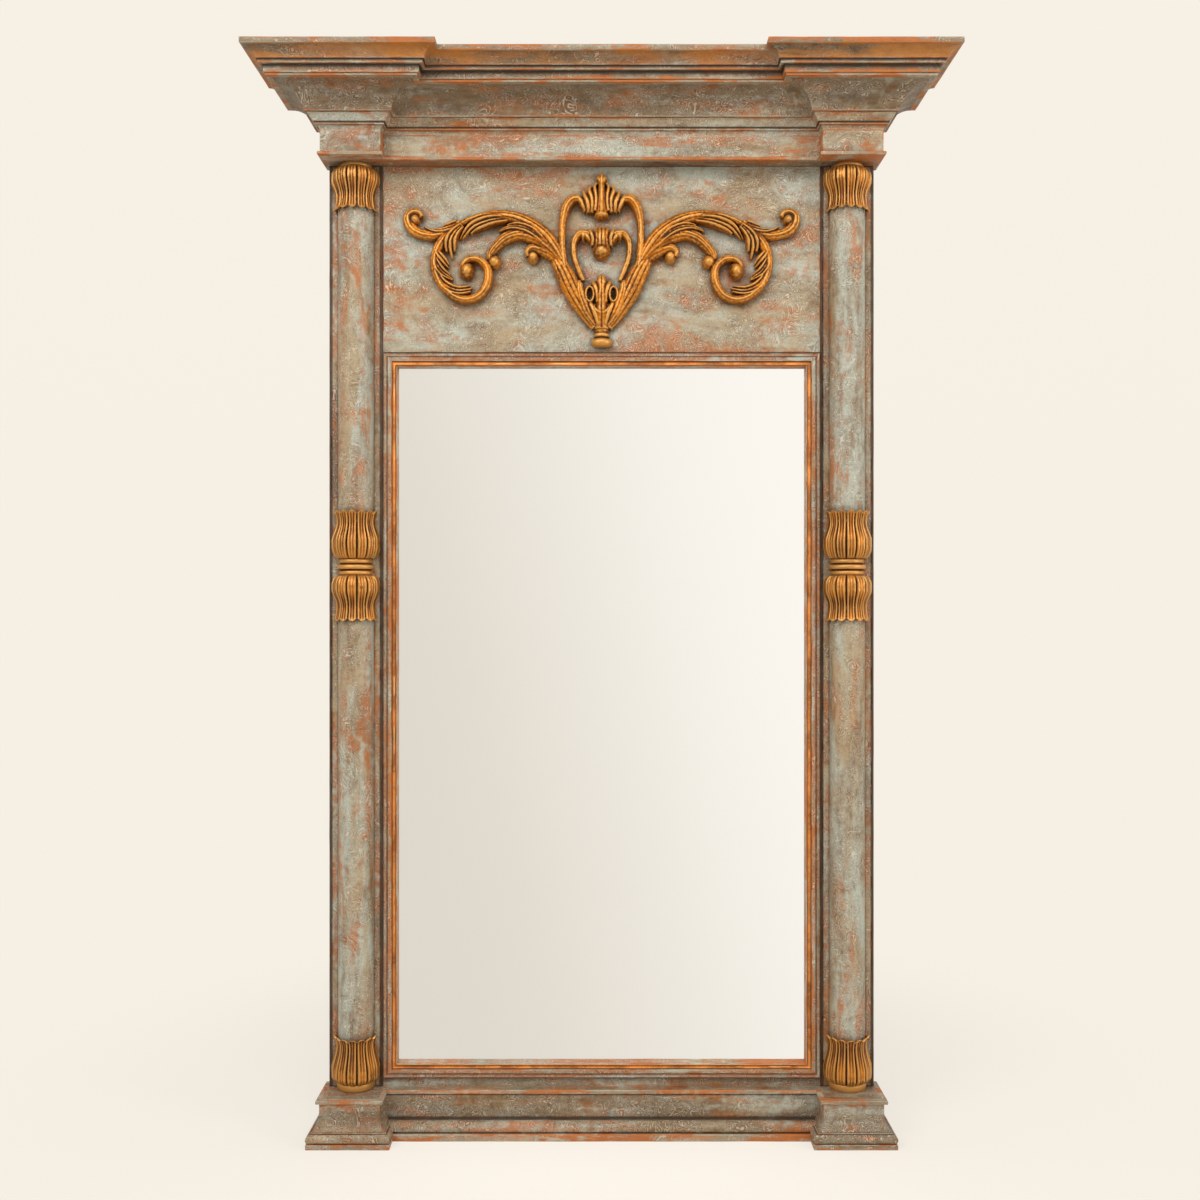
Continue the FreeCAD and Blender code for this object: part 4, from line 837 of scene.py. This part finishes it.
def half_turned(name, rings, sides, shape=None):
    """A half-round piece on the stile's face: a circle extruded ring by ring, halved, and each
    ring then set to its own radius and height. A shape function changes them by angle."""
    leave_all()
    bpy.ops.mesh.primitive_circle_add(vertices=2 * sides, radius=1, fill_type="NGON")
    piece = bpy.context.object
    piece.name = piece.data.name = name
    edit(piece)
    for _ in rings[1:]:
        bpy.ops.mesh.extrude_region_move(TRANSFORM_OT_translate={"value": (0, 0, 1)})
    bpy.ops.mesh.select_all(action="SELECT")
    bpy.ops.mesh.bisect(plane_co=(0, 0, 0), plane_no=(0, 1, 0), use_fill=True, clear_outer=True)
    leave_all()
    mesh = piece.data
    places = np.empty(len(mesh.vertices) * 3)
    mesh.vertices.foreach_get("co", places)
    places = places.reshape(-1, 3)
    angle = np.arctan2(-places[:, 1], places[:, 0])
    ring = np.rint(places[:, 2]).astype(int)
    radius, height = np.array(rings)[ring, 0], np.array(rings)[ring, 1]
    if shape:
        radius, height = shape(angle, ring, radius, height)
    placed = np.stack((radius * np.cos(angle), -radius * np.sin(angle), height), axis=1)
    placed[np.abs(placed[:, 1]) < 1e-5, 1] = 0
    mesh.vertices.foreach_set("co", placed.ravel())
    mesh.update()
    return piece


def along_curve(points, steps):
    """A smooth line through points of any number of values, and how far along each one lies."""
    line = []
    for index in range(len(points) - 1):
        ends = [points[max(index - 1, 0)], points[index], points[index + 1],
                points[min(index + 2, len(points) - 1)]]
        for step in range(steps):
            t = step / steps
            line.append([0.5 * (2 * b + (c - a) * t + (2 * a - 5 * b + 4 * c - d) * t * t
                                + (3 * b - a - 3 * c + d) * t ** 3) for a, b, c, d in zip(*ends)])
    line.append(list(points[-1]))
    return line


def relief_marks(piece, rounds=2, gain=1.0):
    """Store how far each vertex of a carved piece stands out from or lies below its neighbours."""
    mesh = piece.data
    count = len(mesh.vertices)
    places, normals, pairs = np.empty(count * 3), np.empty(count * 3), np.empty(len(mesh.edges) * 2, int)
    mesh.vertices.foreach_get("co", places)
    mesh.vertices.foreach_get("normal", normals)
    mesh.edges.foreach_get("vertices", pairs)
    places, normals, pairs = places.reshape(-1, 3), normals.reshape(-1, 3), pairs.reshape(-1, 2)
    one, two = pairs.T
    valence = np.maximum(np.bincount(pairs.ravel(), minlength=count), 1)

    def gathered(values_one, values_two):
        return (np.bincount(one, values_one, count) + np.bincount(two, values_two, count)) / valence

    run = places[two] - places[one]
    gap = np.maximum(np.linalg.norm(run, axis=1), 1e-6)
    bend = np.einsum("ij,ij->i", normals[two] - normals[one], run) / gap
    near = gathered(bend, bend)
    wide = near.copy()
    for _ in range(rounds):
        near = 0.5 * near + 0.5 * gathered(near[two], near[one])
    for _ in range(rounds * 6):
        wide = 0.4 * wide + 0.6 * gathered(wide[two], wide[one])
    level = near * 4.0 + wide * 7.0
    for name, mask in (("edge", level), ("hollow", -level)):
        layer = mesh.attributes.get(name) or mesh.attributes.new(name, "FLOAT", "POINT")
        layer.data.foreach_set("value", np.clip(mask * gain, 0, 1).astype(np.float32))


def gild(piece, node, finish, gain=1.0, waver=0.0004, smooth=60):
    """The last steps of a carved piece."""
    set_up(piece, finish, "gilt_wood", node, waver=waver, smooth=smooth)
    relief_marks(piece, gain=gain)


def tulip_mesh(name, foot, height, widest, neck, ring=None):
    """A tulip with its mouth up. All sizes are in metres, widest and neck as shares of height."""
    bulb, waist, rim, socket = 0.046, 0.0362, 0.0408, 0.0338
    base = ring[1] if ring else 0.0
    rings, petal, curl = [], [], []

    def go(radius, level, depth=0.0, tip=0.0):
        rings.append((radius, level))
        petal.append(depth)
        curl.append(tip)

    if ring:
        wide, tall = ring
        for step in range(9):
            bow = math.sin(math.pi * step / 8)
            go(wide - 0.0035 * (1 - bow ** 0.6), tall * (1 - math.cos(math.pi * step / 8)) / 2)
        go(wide - 0.0052, tall + 0.0002)
    go(foot - 0.0042, base + 0.0004, 0.1)
    go(foot - 0.0012, base + 0.0008, 0.5)
    top = height * widest
    for step in range(1, 17):
        turn = step / 16 * math.pi / 2
        go(foot + (bulb - foot) * math.sin(turn), base + 0.001 + (top - base - 0.001) * (1 - math.cos(turn)), 1.0)
    for step in range(1, 25):
        share = step / 24
        radius = (bulb + waist) / 2 + (bulb - waist) / 2 * math.cos(share * math.pi)
        go(radius, top + (neck * height - top) * share, 1.0 - 0.35 * share, 0.12 * share)
    for step in range(1, 15):
        share = step / 14
        go(waist + (rim - waist) * share ** 1.8, height * (neck + (1 - neck) * share) - 0.0008 * (step == 14),
           0.65 - 0.25 * share, 0.12 + 0.88 * share ** 1.5)
    go(rim - 0.0006, height, 0.35, 1.0)
    go(rim - 0.0022, height - 0.0001, 0.2, 1.0)
    for step in range(1, 7):
        share = step / 6
        go(rim - 0.0022 - (rim - 0.0022 - socket) * share, height * (1 - (1 - neck) * 0.8 * share ** 1.6),
           0.0, 1.0 - share)
    depths, curls = np.array(petal), np.array(curl)

    def shape(angle, index, radius, level):
        phase = angle / math.pi * PETALS
        across = np.abs((phase % 1.0) - 0.5) * 2
        odd = np.sin(np.floor(phase) * 12.9898 + height * 500)
        depth, tip = depths[index], curls[index]
        groove = np.clip((across - 0.74) / 0.24, 0, 1) ** 1.2
        lip = np.exp(-((across - 0.62) / 0.12) ** 2)
        vein = np.exp(-((across - 0.2) / 0.17) ** 2)
        radius = radius - depth * (0.007 * groove - 0.0012 * lip + 0.0005 * vein)
        radius = radius + 0.0016 * tip * (1 - across) - 0.0012 * tip * across + 0.0006 * depth * odd
        level = level - (0.0072 + 0.0012 * odd) * np.clip(tip, 0, 1) ** 2 * across ** 1.7
        level = level - 0.0012 * tip ** 4 * (1 - across) * np.abs(odd)
        return np.minimum(radius, 0.0461), level

    return half_turned(name, rings, PETALS * 30, shape)


def copied(piece, name):
    """A copy with its own mesh."""
    twin = piece.copy()
    twin.data = piece.data.copy()
    twin.name = twin.data.name = name
    scene.collection.objects.link(twin)
    return twin


STILE_FACE = -0.025
FLIPPED = Matrix.Rotation(math.pi, 3, "Y")
TULIPS = (("base_tulip", 0.036, 0.102, 0.31, 0.82, (0.036, 0.0145), False),
          ("mid_tulip_upper", 0.033, 0.092, 0.33, 0.75, None, False),
          ("mid_tulip_lower", 0.033, 0.088, 0.27, 0.66, None, True),
          ("capital_tulip", 0.0306, 0.091, 0.3, 0.7, (0.0306, 0.008), True))
tulips = []
for label, foot, height, widest, neck, ring, hangs in TULIPS:
    carved = tulip_mesh(label, foot, height, widest, neck, ring)
    for word, side in (("left", -1), ("right", 1)):
        node = "%s_%s" % (label, word)
        low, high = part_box(node)
        tulip = copied(carved, node + "_carving")
        settle(tulip, (side * COLUMN_X, STILE_FACE, high.z if hangs else low.z), FLIPPED if hangs else None)
        gild(tulip, node, brown_gilt, gain=1.5, waver=0.0003)
        tulips.append(tulip)
    bpy.data.objects.remove(carved)

COLLAR = [(0.0268, 0)]
for index, radius in enumerate((0.032, 0.036, 0.032)):
    base = index * 0.011
    for step in range(11):
        turn = math.pi * step / 10
        COLLAR.append((radius - 0.0036 + 0.0036 * math.sin(turn) ** 0.7, base + 0.0085 * (1 - math.cos(turn)) / 2))
    if index < 2:
        COLLAR += [(0.0292, base + 0.0088), (0.029, base + 0.0097), (0.0292, base + 0.0107)]
COLLAR.append((0.0268, 0.0305))
for word, side in (("left", -1), ("right", 1)):
    node = "mid_collar_" + word
    collar = half_turned(node + "_rings", COLLAR, 64)
    settle(collar, (side * COLUMN_X, STILE_FACE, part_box(node)[0].z))
    gild(collar, node, brown_gilt, gain=0.8)


# ---------------------------------------------------------------------------------------------
# Carved crest. Scrolling leafwork in gilded limewood, glued and pinned to the panel: two wings
# of fluted straps that end in curled eyes, a cartouche with two shells, a leaf and a drop.

PANEL_FACE, CREST_LEVEL = -0.022, 1.487
CARVE_CELL = 0.00105
crest_gilt = gilded("gilding_crest", 0.87, 1.05)
tool_marks = bpy.data.textures.new("tool_marks", "CLOUDS")
tool_marks.noise_scale = 0.006
tool_marks.noise_depth = 1


def strap(points, ridges, mirrored=1, steps=10):
    """A carved strap along a smooth line of (across, up, width, height) in millimetres, with
    ridges and cut grooves that run its length."""
    line = along_curve(points, steps)
    count = ridges * 8
    shares = [(-0.5, 0.0, 0), (-0.5, 0.3, 0)]
    for step in range(count + 1):
        across = -0.5 + step / count
        phase = abs((step / 8 + 0.5) % 1.0 - 0.5)
        groove = math.exp(-(phase / 0.13) ** 2) if 0 < step < count else 0.0
        shares.append((across * 0.98, 0.66 + 0.34 * math.cos(across * math.pi) ** 0.6, groove))
    shares += [(0.5, 0.3, 0), (0.5, 0.0, 0)]
    corners, faces = [], []
    total = len(line)
    for index, (x, z, width, height) in enumerate(line):
        before, after = line[max(index - 1, 0)], line[min(index + 1, total - 1)]
        across = Vector((-(after[1] - before[1]), after[0] - before[0])).normalized()
        depth = min(1.7, width * 0.085)
        for share, rise, groove in shares:
            deep = height * rise - depth * groove
            corners.append((mirrored * (x + across.x * width * share), -max(deep, 0),
                            z + across.y * width * share))
    span = len(shares)
    for index in range(total - 1):
        for step in range(span):
            nxt = (step + 1) % span
            faces.append((index * span + step, index * span + nxt,
                          (index + 1) * span + nxt, (index + 1) * span + step))
    faces.append(tuple(range(span)))
    faces.append(tuple(reversed(range((total - 1) * span, total * span))))
    mesh = bpy.data.meshes.new("strap")
    mesh.from_pydata([tuple(value * 0.001 for value in corner) for corner in corners], [], faces)
    piece = bpy.data.objects.new("strap", mesh)
    scene.collection.objects.link(piece)
    return piece


def leaf_fan(points, ends, mirrored=1):
    """A leaf of fluted fingers side by side along a smooth line of (across, up, width, height),
    each with its own rounded tip at its end, a share of the leaf's length."""
    line = along_curve(points, 8)
    fingers = []
    for finger, end in enumerate(ends):
        share = (finger + 0.5) / len(ends) - 0.5
        last = max(int(end * (len(line) - 1)), 3)
        path = []
        for step in range(9):
            run = step / 8
            index = round(run * last)
            x, z, width, height = line[index]
            before, after = line[max(index - 1, 0)], line[min(index + 1, len(line) - 1)]
            across = Vector((-(after[1] - before[1]), after[0] - before[0])).normalized() * width
            taper = 1 - 0.5 * max(run - 0.6, 0) / 0.4
            path.append((x + across.x * share, z + across.y * share, width / len(ends) * 1.22 * taper,
                         height * (1 - 0.12 * (finger % 2)) * (1 - 0.25 * run ** 3)))
        fingers.append(strap(path, 1, mirrored, steps=3))
    return fingers


def eye(x, z, radius, height, mirrored=1, squash=1.0):
    """A round boss, flattened against the panel."""
    leave_all()
    bpy.ops.mesh.primitive_uv_sphere_add(segments=36, ring_count=20, radius=radius * 0.001)
    piece = bpy.context.object
    piece.data.transform(Matrix.Diagonal((1, height / radius, squash, 1)))
    piece.data.transform(Matrix.Translation((mirrored * x * 0.001, 0, z * 0.001)))
    edit(piece)
    bpy.ops.mesh.bisect(plane_co=(0, 0, 0), plane_no=(0, 1, 0), use_fill=True, clear_outer=True)
    leave_all()
    return piece


def carve(name, pieces, node, cell=CARVE_CELL):
    """Overlapping pieces made one closed carving: outward faces, one skin, softened, marked by
    tools and kept inside its block."""
    for piece in pieces:
        edit(piece)
        bpy.ops.mesh.normals_make_consistent(inside=False)
    carving = join(name, pieces)
    apply(carving, "REMESH", mode="VOXEL", voxel_size=cell, adaptivity=0.0)
    apply(carving, "SMOOTH", factor=0.5, iterations=1)
    apply(carving, "DISPLACE", texture=tool_marks, strength=0.0008, mid_level=0.5, texture_coords="LOCAL")
    settle(carving, (0, PANEL_FACE, CREST_LEVEL))
    low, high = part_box(node)
    places = np.empty(len(carving.data.vertices) * 3)
    carving.data.vertices.foreach_get("co", places)
    places = np.clip(places.reshape(-1, 3), np.array(low), np.array(high))
    carving.data.vertices.foreach_set("co", places.ravel())
    carving.data.update()
    gild(carving, node, crest_gilt, gain=0.9, waver=0)
    return carving


def ring_round(x, z, wide, tall, width, height, mirrored=1):
    """A closed raised rim."""
    points = [(x + wide * math.sin(turn * math.pi / 4), z + tall * math.cos(turn * math.pi / 4), width, height)
              for turn in range(9)]
    return strap(points, 1, mirrored, steps=6)


WING_STRAPS = (
    (((-13, 37, 16, 14), (-35, 70, 27, 19), (-56, 108, 35, 23), (-71, 141, 34, 24), (-83, 161, 26, 22), (-93, 178, 12, 13)), 4),
    (((-75, 163, 14, 22), (-88, 186, 24, 24), (-107, 210, 28, 25), (-135, 231, 27, 25), (-163, 243, 24, 25),
      (-191, 248, 21, 23), (-222, 249, 13, 19), (-250, 241, 11, 17), (-274, 228, 12, 17), (-293, 213, 14, 17)), 3),
    (((-272, 230, 15, 18), (-293, 211, 18, 20), (-308, 190, 18, 21), (-315, 168, 18, 22), (-315, 148, 17, 22),
      (-308, 126, 16, 22), (-294, 107, 15, 22), (-274, 93, 15, 22), (-253, 89, 15, 22), (-233, 96, 16, 22),
      (-219, 113, 17, 22), (-214, 134, 17, 22), (-218, 152, 16, 21), (-233, 165, 15, 21), (-250, 166, 13, 20),
      (-261, 156, 12, 19), (-263, 142, 9, 17)), 3),
    (((-266, 233, 18, 18), (-289, 218, 20, 18), (-312, 211, 18, 18), (-334, 212, 18, 18), (-353, 219, 20, 19),
      (-364, 232, 21, 19), (-366, 247, 18, 18), (-357, 255, 15, 18), (-346, 254, 12, 18), (-340, 246, 9, 16)), 3),
    (((-77, 162, 18, 22), (-99, 189, 26, 23), (-127, 206, 27, 23), (-155, 213, 24, 22), (-180, 206, 22, 21),
      (-199, 190, 19, 20), (-210, 174, 17, 19), (-208, 162, 12, 17)), 4),
    (((-73, 155, 15, 20), (-94, 174, 23, 21), (-115, 184, 21, 20), (-131, 187, 17, 20), (-140, 180, 13, 19),
      (-139, 171, 9, 17)), 3),
)
WING_LEAVES = (
    (((-178, 241, 12, 22), (-203, 239, 19, 25), (-225, 233, 23, 25), (-243, 225, 22, 23), (-256, 213, 17, 20),
      (-265, 202, 11, 15)), (1.0, 0.95, 0.74)),
    (((-263, 229, 10, 21), (-275, 218, 17, 23), (-284, 204, 23, 24), (-286, 191, 25, 23), (-285, 178, 21, 19),
      (-283, 167, 15, 14)), (0.76, 1.0, 0.78)),
    (((-314, 183, 8, 21), (-307, 174, 13, 23), (-298, 163, 14, 21), (-288, 151, 7, 13)), (1.0, 0.9)),
    (((-314, 166, 8, 21), (-309, 152, 15, 23), (-301, 141, 16, 22), (-290, 134, 13, 19), (-280, 128, 6, 12)),
     (1.0, 0.95, 0.8)),
    (((-310, 140, 8, 20), (-303, 124, 15, 22), (-288, 111, 18, 23), (-271, 106, 18, 22), (-256, 108, 17, 20),
      (-245, 112, 14, 15)), (0.92, 1.0, 0.97)),
    (((-273, 233, 15, 19), (-290, 226, 16, 20), (-308, 222, 13, 20), (-323, 225, 12, 19), (-336, 231, 8, 14)),
     (0.4, 0.66, 1.0)),
    (((-111, 200, 11, 24), (-130, 216, 15, 26), (-150, 225, 16, 26), (-169, 227, 13, 25), (-185, 224, 10, 21),
      (-195, 220, 5, 13)), (0.72, 1.0, 1.0)),
)
WING_EYES = ((-353, 241, 10, 23, 1.1), (-255, 144, 14, 25, 1.25), (-203, 161, 13.5, 23, 1.05),
             (-130, 171, 11.5, 21, 1.15))
carvings = []
pieces = [strap(points, ridges) for points, ridges in WING_STRAPS]
pieces += [finger for points, ends in WING_LEAVES for finger in leaf_fan(points, ends)]
pieces += [eye(x, z, radius, height, 1, squash) for x, z, radius, height, squash in WING_EYES]
wing = carve("wing_left_carving", pieces, "crest_wing_left")
twin = copied(wing, "wing_right_carving")
twin.data.transform(Matrix.Diagonal((-1, 1, 1, 1)))
twin.data.flip_normals()
gild(twin, "crest_wing_right", crest_gilt, gain=0.9, waver=0)
carvings += [wing, twin]

CARTOUCHE_STRAPS = (
    (((-3, 38, 14.5, 16), (-21, 60, 18, 19), (-41, 87, 21, 21), (-59, 120, 19, 22), (-70, 154, 16, 22),
      (-73.5, 183, 14, 22), (-74.5, 207, 14, 23), (-73.5, 236, 15, 23), (-67.5, 262, 18, 24),
      (-55.5, 278, 19, 24), (-41, 280, 14.5, 21)), 3),
    (((-34.5, 125, 8, 16), (-43, 145, 10.5, 18), (-50.5, 166, 11, 19), (-53, 188, 11.5, 20), (-49.5, 204, 13, 21),
      (-39, 214, 14.5, 22), (-23, 212, 13.5, 20)), 2),
    (((-10.5, 41, 9.5, 18), (-27.5, 67, 19, 22), (-38.5, 96, 19, 23), (-42, 117, 14.5, 21), (-42.5, 126, 7, 15)), 2),
    (((-7, 41, 8, 20), (-13.5, 63, 11.5, 24), (-20.5, 79, 10, 22), (-23.5, 86, 4.5, 14)), 2),
)
pieces = [strap(((0, 37, 22, 13), (0, 47, 50, 17), (0, 58, 68, 19), (0, 70, 78, 18), (0, 81, 84, 13)), 1)]
for hand in (1, -1):
    pieces += [strap(points, ridges, hand) for points, ridges in CARTOUCHE_STRAPS]
carvings.append(carve("cartouche_carving", pieces, "crest_cartouche"))

FAN = (((-9, 309, 5, 17), (-13, 301, 7, 21), (-11, 286, 9, 25), (-10.5, 271, 10, 26), (-12.5, 255, 9, 24)),
       ((-20, 303, 5, 16), (-23, 294, 9, 21), (-18.5, 279, 11, 25), (-17.5, 264, 11, 25), (-19, 253, 9, 21)),
       ((-34, 295, 6, 16), (-32, 285, 10, 21), (-27, 273, 12, 25), (-25, 261, 12, 24), (-25, 253, 9, 19)),
       ((-47, 286, 8, 18), (-40, 276, 11, 22), (-35, 265, 11, 22), (-30, 256, 9, 18)))
pieces = [strap(((0, 248, 25, 23), (0, 262, 22, 26), (0, 280, 18, 26), (0, 298, 13, 24), (0, 308, 12, 21),
                 (0, 318, 17, 19), (0, 328, 9, 14)), 3)]
for hand in (1, -1):
    pieces += [strap(points, 1, hand) for points in FAN]
    pieces.append(eye(-25, 272, 17, 21, hand, 1.12))
    pieces.append(eye(-6, 319, 5, 16, hand, 1.0))
pieces.append(eye(0, 250, 15, 24, 1, 0.68))
carvings.append(carve("top_shell_carving", pieces, "crest_top_shell"))

LOW_FAN = (((-18, 190, 8, 20), (-17, 202, 10, 24), (-20, 213, 10, 24), (-24, 223, 7, 17)),
           ((-20, 197, 8, 20), (-26, 206, 11, 23), (-33, 215, 10, 20)))
pieces = [strap(((0, 182, 33, 20), (0, 194, 30, 24), (0, 206, 28, 25), (0, 217, 30, 22), (0, 226, 28, 14)), 4)]
for hand in (1, -1):
    pieces += [strap(points, 1, hand) for points in LOW_FAN]
    pieces.append(eye(-34, 210, 10, 22, hand, 1.0))
pieces.append(eye(0, 181, 17, 26, 1, 0.95))
carvings.append(carve("mid_shell_carving", pieces, "crest_mid_shell"))

pieces = [strap(((0, 34, 26, 18), (0, 52, 30, 21), (0, 66, 27, 24), (0, 78, 22, 24), (0, 95, 22, 24),
                 (0, 110, 15, 24), (0, 122, 20, 22), (0, 132, 16, 18), (0, 138, 7, 12)), 2)]
for hand in (1, -1):
    pieces.append(strap(((-7, 84, 9, 22), (-9, 102, 11, 23), (-13, 115, 13, 21), (-17, 124, 7, 14)), 1, hand))
    pieces.append(strap(((-2, 63, 9, 24), (-10, 68, 9, 23), (-16, 78, 6, 19)), 1, hand))
    pieces.append(ring_round(-22.5, 99, 7.5, 14, 5.5, 21, hand))
carvings.append(carve("lower_leaf_carving", pieces, "crest_lower_leaf"))

DROP = ((0.0115, 0), (0.0155, 0.0012), (0.0185, 0.0035), (0.0203, 0.0065), (0.0207, 0.0095), (0.0198, 0.0125),
        (0.0178, 0.0148), (0.0148, 0.0163), (0.0136, 0.0168), (0.0133, 0.0182), (0.0138, 0.0196),
        (0.0149, 0.0203), (0.0154, 0.0222), (0.0152, 0.0245), (0.0142, 0.0262), (0.0124, 0.0275),
        (0.0118, 0.0292), (0.0124, 0.0318), (0.0126, 0.034))
drop = half_turned("drop_turning", DROP, 48)
settle(drop, (0, PANEL_FACE, CREST_LEVEL))
gild(drop, "crest_finial", crest_gilt)
carvings.append(drop)


def glaze_and_shadow_near(piece, others, reach, level):
    """Brown glaze and a painted contact shadow where a piece meets others, fading with distance, added to the hollow
    mask.
    """
    trees = [BVHTree.FromPolygons([vertex.co for vertex in other.data.vertices],
                                  [polygon.vertices for polygon in other.data.polygons]) for other in others]
    glaze_and_shadow_layer = piece.data.attributes["hollow"].data
    for vertex in piece.data.vertices:
        found = [tree.find_nearest(vertex.co, reach)[3] for tree in trees]
        found = [gap for gap in found if gap is not None]
        if found:
            share = level * (1 - min(found) / reach) ** 2
            glaze_and_shadow_layer[vertex.index].value = max(glaze_and_shadow_layer[vertex.index].value, share)


# Painted shadow with brown glaze: the panel round the carving, the shafts by the tulips and the stiles beside the
# columns are darkened.
glaze_and_shadow_near(panel, carvings, 0.022, 0.55)
for shaft in shafts:
    glaze_and_shadow_near(shaft, tulips, 0.03, 0.6)
for stile in stiles:
    glaze_and_shadow_near(stile, shafts + tulips, 0.007, 0.6)
